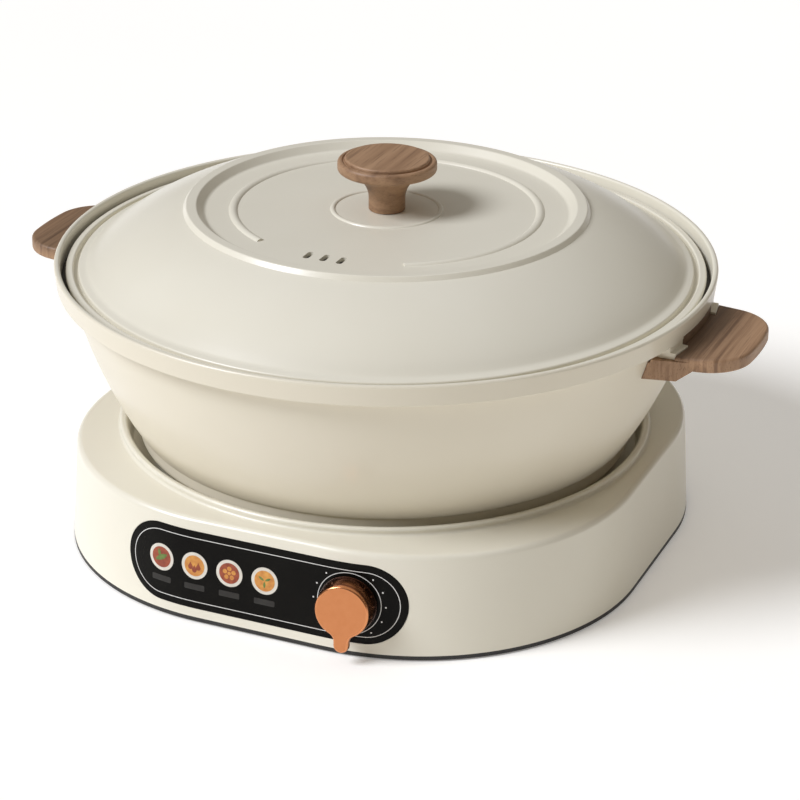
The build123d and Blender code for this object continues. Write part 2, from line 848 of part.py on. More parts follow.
def bottom_cover():
    cover = tapered(cover_z, cover_top_z, 0)
    ring_in = base_wall + fit_gap
    rim_top = cover_top_z + cover_rim_h
    cover += tapered(cover_top_z, rim_top, ring_in) - tapered(cover_top_z, rim_top, ring_in + cover_rim_t)
    for x, y in boss_places():
        cover += upright(cup_r, cover_z, cup_top_z, x, y)
    outside = tapered(cover_top_z, cup_top_z, 0) - tapered(cover_top_z, cup_top_z, ring_in)
    cover -= outside
    for x, y in boss_places():
        cover -= upright(screw_head_r + base_wall / 2, cover_z, cup_top_z - cup_floor, x, y)
        cover -= upright(screw_r + fit_gap, cover_z, cup_top_z, x, y)
    for x, y in corners(foot_angle, foot_inset):
        cover -= upright(foot_stem_r + fit_gap, cover_z, cover_top_z, x, y)
    first = -(vent_slot_count - 1) / 2 * vent_slot_pitch
    for i in range(vent_slot_count):
        slot = Rot(0, 0, 90) * SlotOverall(vent_slot_length, vent_slot_w)
        cover -= Pos(first + i * vent_slot_pitch, 0, cover_z) * extrude(slot, cover_t)
    return cover


def rubber_feet():
    feet = []
    for x, y in corners(foot_angle, foot_inset):
        pad = upright(foot_r, 0, cover_z, x, y)
        pad = fillet(pad.edges().group_by(Axis.Z)[0], edge_share * cover_z)
        stem = upright(foot_stem_r, 0, cover_top_z + foot_head_t, x, y)
        head = upright(foot_head_r, cover_top_z, cover_top_z + foot_head_t, x, y)
        feet.append(pad + stem + head)
    return Compound(feet)


def cover_screws():
    seat = cup_top_z - cup_floor
    bite = screw_bite + cup_floor - fit_gap
    return Compound([screw(x, y, seat, bite) for x, y in boss_places()])


# Heating plate, element, shield and probe


def terminal_angles():
    return (90 - element_gap_angle, 90 + element_gap_angle)


def terminal_places():
    turns = [math.radians(a) for a in terminal_angles()]
    return [(element_r * math.cos(a), element_r * math.sin(a)) for a in turns]


def heating_plate():
    plate = upright(plate_r, plate_under_z, plate_z)
    plate = chamfer(plate.edges().group_by(Axis.Z)[-1], plate_chamfer)
    rib = upright(element_r + rib_w / 2, element_z, plate_under_z)
    plate += rib - upright(element_r - rib_w / 2, element_z, plate_under_z)
    for x, y in around(post_count, post_circle):
        plate += upright(post_r, sleeve_z, plate_under_z, x, y)
    plate -= Pos(0, 0, element_z) * Torus(element_r, element_tube_r + fit_gap)
    plate -= upright(probe_hole_r, element_z, plate_z)
    for x, y in around(post_count, post_circle):
        plate -= upright(screw_r, sleeve_z, sleeve_z + screw_bite, x, y)
    return plate


def heating_element():
    start, end = terminal_angles()
    ring = Rot(0, 0, end) * (Plane.XZ * (Pos(element_r, element_z) * Circle(element_tube_r)))
    tube = revolve(ring, Axis.Z, 360 - 2 * element_gap_angle)
    for x, y in terminal_places():
        tube += Pos(x, y, element_z) * Sphere(element_tube_r + press_gap)
        tube += upright(element_tube_r, shield_z - element_tube_r, element_z, x, y)
        tube += upright(element_tube_r / 2, terminal_z, element_z, x, y)
    return tube


def heat_shield():
    bottom = shield_z
    top = shield_flange_z
    inner = shield_r
    edges = [
        Line((sleeve_r - sleeve_wall, bottom), (inner, bottom)),
        Line((inner, bottom), (inner + shield_t, bottom + shield_t)),
        Line((inner + shield_t, bottom + shield_t), (inner + shield_t, top - shield_t)),
        Line((inner + shield_t, top - shield_t), (shield_flange_r, top - shield_t)),
        Line((shield_flange_r, top - shield_t), (shield_flange_r, top)),
        Line((shield_flange_r, top), (inner, top)),
        Line((inner, top), (inner, bottom + shield_t)),
        Line((inner, bottom + shield_t), (sleeve_r - sleeve_wall, bottom + shield_t)),
        Line((sleeve_r - sleeve_wall, bottom + shield_t), (sleeve_r - sleeve_wall, bottom)),
    ]
    shield = spin(edges)
    for x, y in around(post_count, post_circle):
        shield -= upright(screw_r + fit_gap, bottom, sleeve_z, x, y)
    for x, y in around(post_count, shield_screw_circle, shield_screw_angle):
        shield -= upright(screw_r + fit_gap, bottom, top, x, y)
    for x, y in terminal_places():
        shield -= upright(element_tube_r + 2 * seat_gap, bottom, sleeve_z, x, y)
    return shield


def plate_screws():
    low = [screw(x, y, shield_z, screw_bite) for x, y in around(post_count, post_circle)]
    seat = shield_flange_z - shield_t
    places = around(post_count, shield_screw_circle, shield_screw_angle)
    high = [screw(x, y, seat, screw_bite) for x, y in places]
    return Compound(low + high)


def thermal_cutout():
    body = upright(cutout_r, plate_under_z - cutout_t, plate_under_z, 0, -cutout_reach)
    tab = (pin_w * 2, pin_w / 2, cutout_t)
    for side in (1, -1):
        body += Pos(side * cutout_r / 2, -cutout_reach, plate_under_z - cutout_t - tab[2] / 4) * Box(*tab)
    return body


def probe_sleeve():
    tube = upright(sleeve_r, sleeve_z, sleeve_top_z)
    tube += upright(sleeve_r + sleeve_foot, sleeve_z, sleeve_z + sleeve_foot_t)
    return tube - upright(probe_bore_r, spring_low_z, plate_z)


def probe_cap():
    cap = upright(probe_r, plate_z - probe_depth, plate_z)
    cap = fillet(cap.edges().group_by(Axis.Z)[-1], probe_wall)
    return cap - upright(probe_r - probe_wall, plate_z - probe_depth, spring_high_z)


def probe_spring():
    height = spring_high_z - spring_low_z - 2 * spring_wire_r
    pitch = height / spring_turns
    path = Pos(0, 0, spring_low_z + spring_wire_r) * Helix(pitch, height, spring_r)
    section = Plane(path @ 0, z_dir=path % 0) * Circle(spring_wire_r)
    wire = sweep(section, path, is_frenet=True)
    return wire & upright(spring_r + 2 * spring_wire_r, spring_low_z, spring_high_z)


# Control


def pointer_face(inset):
    # the dial's face with its pointer hanging from it, drawn as one drop
    radius = dial_face_r - inset
    half = pointer_w / 2 - inset
    flare = pointer_flare + inset
    tip_y = pointer_w / 2 - pointer_reach
    flare_y = -math.sqrt((radius + flare) ** 2 - (half + flare) ** 2)
    share = radius / (radius + flare)
    touch = (share * (half + flare), share * flare_y)
    turn = (math.pi + math.atan2(flare_y, half + flare)) / 2 + math.pi / 2
    belly = (half + flare + flare * math.cos(turn), flare_y + flare * math.sin(turn))
    top = ThreePointArc(touch, (0, radius), (-touch[0], touch[1]))
    end = ThreePointArc((-half, tip_y), (0, inset - pointer_reach), (half, tip_y))
    sides = []
    for s in (1, -1):
        start = (s * touch[0], touch[1])
        middle = (s * belly[0], belly[1])
        neck = (s * half, flare_y)
        sides.append(ThreePointArc(start, middle, neck))
        sides.append(Line(neck, (s * half, tip_y)))
    return make_face([top, end] + sides)


def control_knob():
    floor = dial_gap + panel_proud
    middle = dial_height - dial_face_t
    slope = (dial_r - dial_face_r) / (dial_height - floor)
    spread = slope * dial_face_t
    middle_r = dial_face_r + spread
    side = [
        Line((0, floor), (dial_r, floor)),
        Line((dial_r, floor), (middle_r, middle)),
        Line((middle_r, middle), (0, middle)),
        Line((0, middle), (0, floor)),
    ]
    shoulder = dial_height - dial_round
    heights = [(middle, -spread), (shoulder, -slope * dial_round), (dial_height, dial_round)]
    sections = [Pos(0, 0, z) * pointer_face(inset) for z, inset in heights]
    knob = spin(side) + loft(sections, ruled=True)
    hollow = disc(dial_r - 2 * dial_wall, floor, middle)
    knob -= hollow - disc(dial_hub_r, bushing_proud + seat_gap, middle)
    knob -= disc(shaft_r + press_gap, floor, middle)
    return control_plane() * knob


def switch_seat():
    # depth of the flat inside pad below the wall's outside
    return -base_wall - switch_pad_t


def control_switch():
    seat = switch_seat()
    half = switch_size / 2
    body = block((-half, -half, seat - switch_depth), (half, half, seat))
    body = chamfer(body.edges().filter_by(Axis.Z), edge_share * pin_h)
    body += disc(bushing_r, seat, bushing_proud)
    body -= disc(shaft_r + shaft_gap, seat - switch_depth / 2, dial_height)
    for side in (1, -1):
        tab = Box(pin_h, pin_w / 2, pin_h)
        body += Pos(side * half / 2, 0, seat - switch_depth - pin_h / 2) * tab
    return control_plane() * body


def control_shaft():
    low = switch_seat() - switch_depth / 2 + seat_gap
    return control_plane() * disc(shaft_r, low, dial_height - dial_face_t - fit_gap)


def switch_nut():
    nut = extrude(RegularPolygon(nut_flats / 2, 6, major_radius=False), nut_t)
    nut = Pos(0, 0, -spot_depth) * nut - disc(bushing_r + press_gap, -spot_depth, bushing_proud)
    return control_plane() * nut


def control_board():
    board = block((board_left_x, board_y, board_low_z), (board_right_x, board_y + board_t, board_high_z))
    board = fillet(board.edges().filter_by(Axis.Y), board_margin / 2)
    for x, z in board_places():
        board -= rod(screw_r + fit_gap, x, z, board_y, board_y + board_t)
    return board


def panel_lamps():
    return Compound([rod(lamp_r, x, window_z, board_y - lamp_length, board_y) for x in window_places()])


def board_screws():
    made = []
    for x, z in board_places():
        back = board_y + board_t
        shank = rod(screw_r, x, z, board_y - screw_bite / 2 + fit_gap, back)
        made.append(shank + rod(screw_head_r, x, z, back, back + screw_head_t))
    return Compound(made)


# Power inlet


def power_inlet():
    round_in = inlet_round - fit_gap
    body = Pos(0, 0, -inlet_depth) * extrude(RectangleRounded(inlet_w, inlet_h, round_in), inlet_depth)
    flange_w = inlet_w + 2 * inlet_flange
    flange_h = inlet_h + 2 * inlet_flange
    flange = RectangleRounded(flange_w, flange_h, inlet_round + inlet_flange)
    body += extrude(flange, inlet_flange_t)
    cavity = RectangleRounded(inlet_cavity_w, inlet_cavity_h, round_in)
    body -= Pos(0, 0, -inlet_cavity_depth) * extrude(cavity, inlet_cavity_depth + inlet_flange_t)
    for x, y in pin_places():
        body -= Pos(x, y, -inlet_depth) * Box(pin_w, pin_h, 2 * (inlet_depth - inlet_cavity_depth))
    return inlet_plane() * body


def pin_places():
    return [(-pin_pitch, -pin_stagger / 2), (0, pin_stagger / 2), (pin_pitch, -pin_stagger / 2)]


def inlet_pins():
    low = -inlet_depth - pin_tail
    high = -pin_short
    pins = []
    for x, y in pin_places():
        half_w = pin_w / 2
        half_h = pin_h / 2
        pin = block((x - half_w, y - half_h, low), (x + half_w, y + half_h, high))
        pins.append(inlet_plane() * chamfer(pin.edges().group_by(Axis.Z)[-1], edge_share * pin_w))
    return Compound(pins)


def nodes():
    right = handle()
    return {
        "base_shell": base_shell(),
        "bottom_cover": bottom_cover(),
        "rubber_feet": rubber_feet(),
        "cover_screws": cover_screws(),
        "heating_plate": heating_plate(),
        "heating_element": heating_element(),
        "heat_shield": heat_shield(),
        "plate_screws": plate_screws(),
        "thermal_cutout": thermal_cutout(),
        "probe_sleeve": probe_sleeve(),
        "probe_cap": probe_cap(),
        "probe_spring": probe_spring(),
        "front_panel": front_panel(),
        "control_knob": control_knob(),
        "control_switch": control_switch(),
        "control_shaft": control_shaft(),
        "switch_nut": switch_nut(),
        "control_board": control_board(),
        "panel_lamps": panel_lamps(),
        "board_screws": board_screws(),
        "power_inlet": power_inlet(),
        "inlet_pins": inlet_pins(),
        "pot_body": pot_body(),
        "pot_divider": pot_divider(),
        "handle_right": right,
        "handle_left": mirror(right, Plane.YZ),
        "handle_screws": handle_screws(),
        "lid": lid(),
        "lid_knob": lid_knob(),
        "knob_washer": knob_washer(),
        "knob_screw": knob_screw(),
    }


os.makedirs("parts", exist_ok=True)
for name, shape in nodes().items():
    export_step(shape, os.path.join("parts", name + ".step"))
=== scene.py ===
import bmesh
import bpy
import math
from mathutils import Matrix, Vector


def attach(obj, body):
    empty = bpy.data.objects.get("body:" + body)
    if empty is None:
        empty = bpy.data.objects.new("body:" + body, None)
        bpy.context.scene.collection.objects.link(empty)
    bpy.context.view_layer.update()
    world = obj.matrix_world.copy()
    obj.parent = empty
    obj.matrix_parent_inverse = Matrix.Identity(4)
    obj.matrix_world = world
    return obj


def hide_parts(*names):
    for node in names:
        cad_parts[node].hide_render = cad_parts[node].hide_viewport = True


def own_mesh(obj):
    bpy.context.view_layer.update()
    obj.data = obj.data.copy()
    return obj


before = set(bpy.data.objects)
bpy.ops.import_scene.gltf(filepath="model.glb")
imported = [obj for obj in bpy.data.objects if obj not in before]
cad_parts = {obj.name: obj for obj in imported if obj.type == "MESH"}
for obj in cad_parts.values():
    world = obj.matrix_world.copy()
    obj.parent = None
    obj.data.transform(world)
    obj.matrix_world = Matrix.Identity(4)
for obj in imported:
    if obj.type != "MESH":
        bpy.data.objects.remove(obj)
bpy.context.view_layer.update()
mm = 0.001
weldGap = mm * 0.002
nearlyRound = 0.999  # share of a full end radius, so that no side is lost
print("frame loaded,", len(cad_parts), "nodes")


# helpers for drawing, turning and finishing pieces

def freshStart():
    if bpy.context.object and bpy.context.object.mode != "OBJECT":
        bpy.ops.object.mode_set(mode="OBJECT")
    bpy.ops.object.select_all(action="DESELECT")


def makeActive(piece):
    freshStart()
    piece.select_set(True)
    bpy.context.view_layer.objects.active = piece


def editAll(piece):
    makeActive(piece)
    bpy.ops.object.mode_set(mode="EDIT")
    bpy.ops.mesh.select_all(action="SELECT")


def weldAll():
    bpy.ops.mesh.select_all(action="SELECT")
    bpy.ops.mesh.remove_doubles(threshold=weldGap)


def bow(start, end, rise, steps=20):  # points after start on an arc that stands off to the left of its chord
    a, b = Vector(start), Vector(end)
    chord = b - a
    half = chord.length / 2
    left = Vector((-chord.y, chord.x)).normalized()
    radius = (half * half + rise * rise) / (2 * rise)
    centre = (a + b) / 2 + left * (rise - radius)
    first = math.atan2(a.y - centre.y, a.x - centre.x)
    turn = math.atan2(b.y - centre.y, b.x - centre.x) - first
    turn = (turn + math.pi) % math.tau - math.pi
    size = abs(radius)
    angles = [first + turn * i / steps for i in range(1, steps + 1)]
    return [(centre.x + size * math.cos(t), centre.y + size * math.sin(t)) for t in angles]


def softPath(corners, closed=True, steps=5):  # a third number on a corner is the radius that rounds it
    points = []
    count = len(corners)
    for i, corner in enumerate(corners):
        here = Vector(corner[:2])
        radius = corner[2] if len(corner) > 2 else 0
        if not radius or (not closed and i in (0, count - 1)):
            points.append(here)
            continue
        before = (Vector(corners[i - 1][:2]) - here).normalized()
        after = (Vector(corners[(i + 1) % count][:2]) - here).normalized()
        half = before.angle(after) / 2
        reach = radius / math.tan(half)
        centre = here + (before + after).normalized() * radius / math.sin(half)
        for j in range(steps + 1):
            spoke = (here + before * reach - centre).lerp(here + after * reach - centre, j / steps)
            points.append(centre + spoke.normalized() * radius)
    return points


def drawLine(name, points, heading=0, flat=False):  # one point is pulled along the line
    freshStart()
    bpy.ops.mesh.primitive_plane_add(size=mm)
    piece = bpy.context.object
    piece.name = piece.data.name = name
    bpy.ops.object.mode_set(mode="EDIT")
    bpy.ops.mesh.select_mode(type="VERT")
    bpy.ops.mesh.select_all(action="SELECT")
    bpy.ops.mesh.merge(type="CENTER")
    if flat:
        steps = [Vector((p[0], p[1], 0)) * mm for p in points]
    else:
        across = Vector((math.cos(heading), math.sin(heading), 0))
        steps = [(across * p[0] + Vector((0, 0, p[1]))) * mm for p in points]
    bpy.ops.transform.translate(value=steps[0])
    for here, there in zip(steps, steps[1:]):
        bpy.ops.mesh.extrude_vertices_move(TRANSFORM_OT_translate={"value": there - here})
    weldAll()
    return piece


def turnedPiece(name, corners, turns=160, sweep=360, heading=0, steps=5):
    points = softPath(corners, True, steps)
    piece = drawLine(name, points + points[:1], math.radians(heading))
    bpy.ops.mesh.spin(steps=turns, angle=math.radians(sweep), center=(0, 0, 0), axis=(0, 0, 1))
    weldAll()
    if sweep < 360:
        bpy.ops.mesh.fill_holes(sides=0)
    bpy.ops.mesh.normals_make_consistent(inside=False)
    bpy.ops.object.mode_set(mode="OBJECT")
    return piece


def outlinePiece(name, corners, steps=8, flat=False):  # a flat face inside a closed outline
    points = softPath(corners, True, steps)
    piece = drawLine(name, points + points[:1], 0, flat)
    bpy.ops.mesh.edge_face_add()
    return piece


def softBox(left, right, low, high, soft):  # four corners with one radius
    return [(left, low, soft), (right, low, soft), (right, high, soft), (left, high, soft)]


def pick(piece, kind, test):  # selects the edges or faces that pass a test
    bpy.ops.mesh.select_mode(type=kind)
    bpy.ops.mesh.select_all(action="DESELECT")
    mesh = bmesh.from_edit_mesh(piece.data)
    for part in mesh.edges if kind == "EDGE" else mesh.faces:
        if test(part):
            part.select_set(True)
    bmesh.update_edit_mesh(piece.data)


def applyModifier(piece, kind, **values):
    makeActive(piece)
    bpy.ops.object.modifier_add(type=kind)
    modifier = piece.modifiers[-1]
    for key, value in values.items():
        setattr(modifier, key, value)
    bpy.ops.object.modifier_apply(modifier=modifier.name)


def combine(piece, tool, operation="DIFFERENCE"):
    applyModifier(piece, "BOOLEAN", object=tool, operation=operation, solver="EXACT")
    bpy.data.objects.remove(tool, do_unlink=True)


def boxTool(name, low, high, edge=0):
    freshStart()
    middle = (Vector(low) + Vector(high)) / 2 * mm
    bpy.ops.mesh.primitive_cube_add(size=1, location=middle)
    tool = bpy.context.object
    tool.name = name
    tool.scale = (Vector(high) - Vector(low)) * mm
    bpy.ops.object.transform_apply(location=True, rotation=True, scale=True)
    if edge:
        applyModifier(tool, "BEVEL", width=edge * mm, segments=4)
    return tool


def softEdges(piece, width, segments):  # rounds the edges that turn by more than 60 degrees
    corner = math.radians(60)
    applyModifier(piece, "BEVEL", width=width * mm, segments=segments, limit_method="ANGLE", angle_limit=corner)


def raiseFace(low, high):  # makes the flat face in edit mode a solid between two heights
    bpy.ops.transform.translate(value=(0, 0, low * mm))
    bpy.ops.mesh.extrude_region_move(TRANSFORM_OT_translate={"value": (0, 0, (high - low) * mm)})
    bpy.ops.mesh.select_all(action="SELECT")
    bpy.ops.mesh.normals_make_consistent(inside=False)


def cadCopy(name, node):  # the node's own form, its loose triangles joined
    freshStart()
    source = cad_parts[node]
    piece = bpy.data.objects.new(name, source.data.copy())
    bpy.context.scene.collection.objects.link(piece)
    editAll(piece)
    bpy.ops.mesh.customdata_custom_splitnormals_clear()
    bpy.ops.mesh.remove_doubles(threshold=mm * 0.001)
    bpy.ops.mesh.dissolve_limited(angle_limit=math.radians(0.3))
    bpy.ops.object.mode_set(mode="OBJECT")
    return piece


def finishPiece(piece, body, paint, nodes=(), sharp=35):
    makeActive(piece)
    bpy.ops.object.transform_apply(location=True, rotation=True, scale=True)
    bpy.ops.object.shade_smooth_by_angle(angle=math.radians(sharp))
    applyModifier(piece, "WEIGHTED_NORMAL", keep_sharp=True)
    if paint:
        piece.data.materials.clear()
        piece.data.materials.append(paint)
    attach(piece, body)
    if nodes:
        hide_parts(*nodes)
    print("made", piece.name, len(piece.data.polygons), "faces")
    return piece


# paints, from noise on the piece's own coordinates or from values kept on its mesh

skinDepth = 0.0002
cloudLow, cloudHigh = 0.3, 0.7  # the part of a noise's range that is used


def newPaint(name):
    paint = bpy.data.materials.new(name)
    paint.use_nodes = True
    tree = paint.node_tree
    tree.nodes.clear()
    out = tree.nodes.new("ShaderNodeOutputMaterial")
    shader = tree.nodes.new("ShaderNodeBsdfPrincipled")
    tree.links.new(shader.outputs["BSDF"], out.inputs["Surface"])
    place = tree.nodes.new("ShaderNodeTexCoord")
    return paint, tree, shader, place


def stretched(tree, place, scale, turn=(0, 0, 0)):
    mapping = tree.nodes.new("ShaderNodeMapping")
    mapping.inputs["Scale"].default_value = scale
    mapping.inputs["Rotation"].default_value = turn
    tree.links.new(place.outputs["Object"], mapping.inputs["Vector"])
    return mapping.outputs["Vector"]


def noise(tree, vector, scale, detail=3, rough=0.5, warp=0):
    cloud = tree.nodes.new("ShaderNodeTexNoise")
    cloud.inputs["Scale"].default_value = scale
    cloud.inputs["Detail"].default_value = detail
    cloud.inputs["Roughness"].default_value = rough
    cloud.inputs["Distortion"].default_value = warp
    tree.links.new(vector, cloud.inputs["Vector"])
    return cloud.outputs["Fac"]


def ramp(tree, value, stops):
    colours = tree.nodes.new("ShaderNodeValToRGB")
    band = colours.color_ramp
    while len(band.elements) < len(stops):
        band.elements.new(0.5)
    for element, (spot, colour) in zip(band.elements, stops):
        element.position = spot
        element.color = (*colour, 1)
    tree.links.new(value, colours.inputs["Fac"])
    return colours.outputs["Color"]


def between(tree, value, low, high, fromLow=cloudLow, fromHigh=cloudHigh):
    span = tree.nodes.new("ShaderNodeMapRange")
    span.inputs["From Min"].default_value = fromLow
    span.inputs["From Max"].default_value = fromHigh
    span.inputs["To Min"].default_value = low
    span.inputs["To Max"].default_value = high
    tree.links.new(value, span.inputs["Value"])
    return span.outputs["Result"]


def bumped(tree, shader, height, strength):
    bump = tree.nodes.new("ShaderNodeBump")
    bump.inputs["Strength"].default_value = strength
    bump.inputs["Distance"].default_value = skinDepth
    tree.links.new(height, bump.inputs["Height"])
    tree.links.new(bump.outputs["Normal"], shader.inputs["Normal"])


def plainPaint(name, look):  # moulded, cast or coated surfaces: cloudy colour, uneven gloss, fine skin
    paint, tree, shader, place = newPaint(name)
    vector = stretched(tree, place, look.get("stretch", (1, 1, 1)))
    cloud = noise(tree, vector, look["cloud"], 4)
    base = ramp(tree, cloud, [(cloudLow, look["dark"]), (cloudHigh, look["light"])])
    tree.links.new(base, shader.inputs["Base Color"])
    gloss = noise(tree, vector, look["cloud"] * 3, 4)
    tree.links.new(between(tree, gloss, *look["rough"]), shader.inputs["Roughness"])
    skin = noise(tree, vector, look["skin"], 2)
    bumped(tree, shader, skin, look["bump"])
    shader.inputs["Metallic"].default_value = look.get("metal", 0)
    shader.inputs["Specular IOR Level"].default_value = look.get("spec", 0.5)
    shader.inputs["Coat Weight"].default_value = look.get("coat", 0)
    shader.inputs["Coat Roughness"].default_value = look.get("coatRough", 0.1)
    return paint


creamCoatLook = {
    "dark": (0.757, 0.714, 0.592), "light": (0.780, 0.740, 0.622),
    "cloud": 14, "rough": (0.30, 0.36), "skin": 900, "bump": 0.03, "coat": 0.25, "coatRough": 0.22,
}
# the lid's cream coating made darker and warmer for the pot and its divider: painted shade on the walls
paintedShadePotCoatLook = {**creamCoatLook, "dark": (0.733, 0.673, 0.539), "light": (0.755, 0.697, 0.566)}
creamShellLook = {
    "dark": (0.758, 0.718, 0.600), "light": (0.778, 0.740, 0.626),
    "cloud": 14, "rough": (0.29, 0.34), "skin": 900, "bump": 0.02, "coat": 0.3, "coatRough": 0.22,
}
darkPlasticLook = {
    "dark": (0.014, 0.013, 0.012), "light": (0.022, 0.021, 0.019),
    "cloud": 60, "rough": (0.48, 0.58), "skin": 1400, "bump": 0.25,
}
footRubberLook = {
    "dark": (0.012, 0.012, 0.012), "light": (0.026, 0.026, 0.026),
    "cloud": 90, "rough": (0.75, 0.88), "skin": 1200, "bump": 0.3,
}
steelLook = {
    "dark": (0.48, 0.48, 0.47), "light": (0.60, 0.60, 0.59),
    "cloud": 240, "rough": (0.24, 0.36), "skin": 1500, "bump": 0.08, "metal": 1, "stretch": (1, 1, 0.2),
}
aluminiumLook = {
    "dark": (0.55, 0.55, 0.56), "light": (0.66, 0.66, 0.67),
    "cloud": 120, "rough": (0.34, 0.46), "skin": 1100, "bump": 0.2, "metal": 1,
}
whitePlasticLook = {
    "dark": (0.66, 0.65, 0.61), "light": (0.72, 0.71, 0.67),
    "cloud": 50, "rough": (0.45, 0.55), "skin": 1100, "bump": 0.15,
}
brassLook = {
    "dark": (0.56, 0.38, 0.13), "light": (0.68, 0.49, 0.19),
    "cloud": 260, "rough": (0.22, 0.34), "skin": 1300, "bump": 0.1, "metal": 1,
}
boardLook = {
    "dark": (0.012, 0.070, 0.030), "light": (0.020, 0.105, 0.045),
    "cloud": 160, "rough": (0.32, 0.45), "skin": 900, "bump": 0.1,
}
lampLook = {
    "dark": (0.78, 0.75, 0.66), "light": (0.84, 0.81, 0.72),
    "cloud": 200, "rough": (0.2, 0.3), "skin": 800, "bump": 0.04,
}
sealLook = {
    "dark": (0.56, 0.54, 0.49), "light": (0.62, 0.60, 0.55),
    "cloud": 120, "rough": (0.6, 0.7), "skin": 900, "bump": 0.1,
}
panelLook = {
    "dark": (0.0035, 0.003, 0.0025), "light": (0.006, 0.0055, 0.0045),
    "cloud": 40, "rough": (0.16, 0.20), "skin": 500, "bump": 0.01, "spec": 0.08,
}
copperFaceLook = {
    "dark": (0.630, 0.248, 0.104), "light": (0.655, 0.268, 0.116),
    "cloud": 300, "rough": (0.36, 0.42), "skin": 2400, "bump": 0.12, "metal": 1,
}
paintedReflectionCopperLook = {  # copper with painted reflections: light and dark rings by depth, 0 at the panel, 1 at the face
    "reflectionRings": [
        (0.10, (0.170, 0.060, 0.030)), (0.38, (0.260, 0.095, 0.045)), (0.50, (0.560, 0.222, 0.098)),
        (0.66, (0.640, 0.256, 0.112)), (0.74, (0.240, 0.088, 0.042)), (0.82, (0.240, 0.088, 0.042)),
        (0.88, (0.680, 0.280, 0.124)),
    ],
    "cloud": 60, "rough": (0.20, 0.26),
}
inkLook = {"cloud": 420, "rough": (0.3, 0.4), "skin": 1500, "bump": 0.02}
lineLook = {
    **inkLook, "dark": (0.70, 0.69, 0.66), "light": (0.78, 0.77, 0.74), "cloud": 300, "rough": (0.35, 0.45),
}
plateLook = {**inkLook, "dark": (0.62, 0.58, 0.50), "light": (0.72, 0.68, 0.60), "cloud": 260}
brothLook = {**inkLook, "dark": (0.20, 0.030, 0.012), "light": (0.36, 0.070, 0.022)}
amberLook = {**inkLook, "dark": (0.50, 0.17, 0.030), "light": (0.68, 0.33, 0.065)}
herbLook = {**inkLook, "dark": (0.075, 0.130, 0.022), "light": (0.150, 0.230, 0.045)}
barLook = {
    **inkLook, "dark": (0.022, 0.020, 0.018), "light": (0.032, 0.030, 0.027), "cloud": 200, "spec": 0.25,
}
# painted shadow: near-black paint for the pot's gutter floor, standing in for the deep shade in the gap between lid
# and rim
paintedGutterShadowLook = {
    "dark": (0.050, 0.041, 0.029), "light": (0.064, 0.053, 0.038),
    "cloud": 90, "rough": (0.5, 0.6), "skin": 900, "bump": 0.05,
}
# the shade colour is multiplied into the handles' wood as painted shade
woodLook = {
    "pale": (0.400, 0.240, 0.134), "mid": (0.315, 0.180, 0.096),
    "deep": (0.205, 0.110, 0.056), "pore": (0.150, 0.080, 0.041), "shade": (0.30, 0.29, 0.27),
    "stops": [(-0.14, "deep"), (-0.04, "mid"), (0.06, "pale"), (0.18, "mid")],
    "broad": {"along": 0.045, "rise": 1, "scale": 140, "detail": 3, "rough": 0.5, "warp": 0.5},
    "lines": {"along": 0.02, "rise": 0.6, "scale": 380, "detail": 4, "rough": 0.55, "warp": 0.2},
    "fibres": {"along": 0.018, "rise": 1.4, "scale": 1900, "detail": 3, "rough": 0.6, "warp": 0},
    "pores": (0.55, 0, 0.33, 0.45), "gloss": (0.46, 0.62), "bump": 0.12, "coat": 0.06, "coatRough": 0.4,
}


def reflectionRingPaint(name, look):  # turned metal with painted reflection rings, its colour set by the mesh's own depth values
    paint, tree, shader, place = newPaint(name)
    depth = tree.nodes.new("ShaderNodeAttribute")
    depth.attribute_name = "depth"
    tree.links.new(ramp(tree, depth.outputs["Fac"], look["reflectionRings"]), shader.inputs["Base Color"])
    gloss = noise(tree, place.outputs["Object"], look["cloud"])
    tree.links.new(between(tree, gloss, *look["rough"]), shader.inputs["Roughness"])
    shader.inputs["Metallic"].default_value = 1
    return paint


def grain(tree, place, kind, across, tall, turn):
    g = woodLook[kind]
    vector = stretched(tree, place, (across, g["along"], tall * g["rise"]), turn)
    return noise(tree, vector, g["scale"], g["detail"], g["rough"], g["warp"])


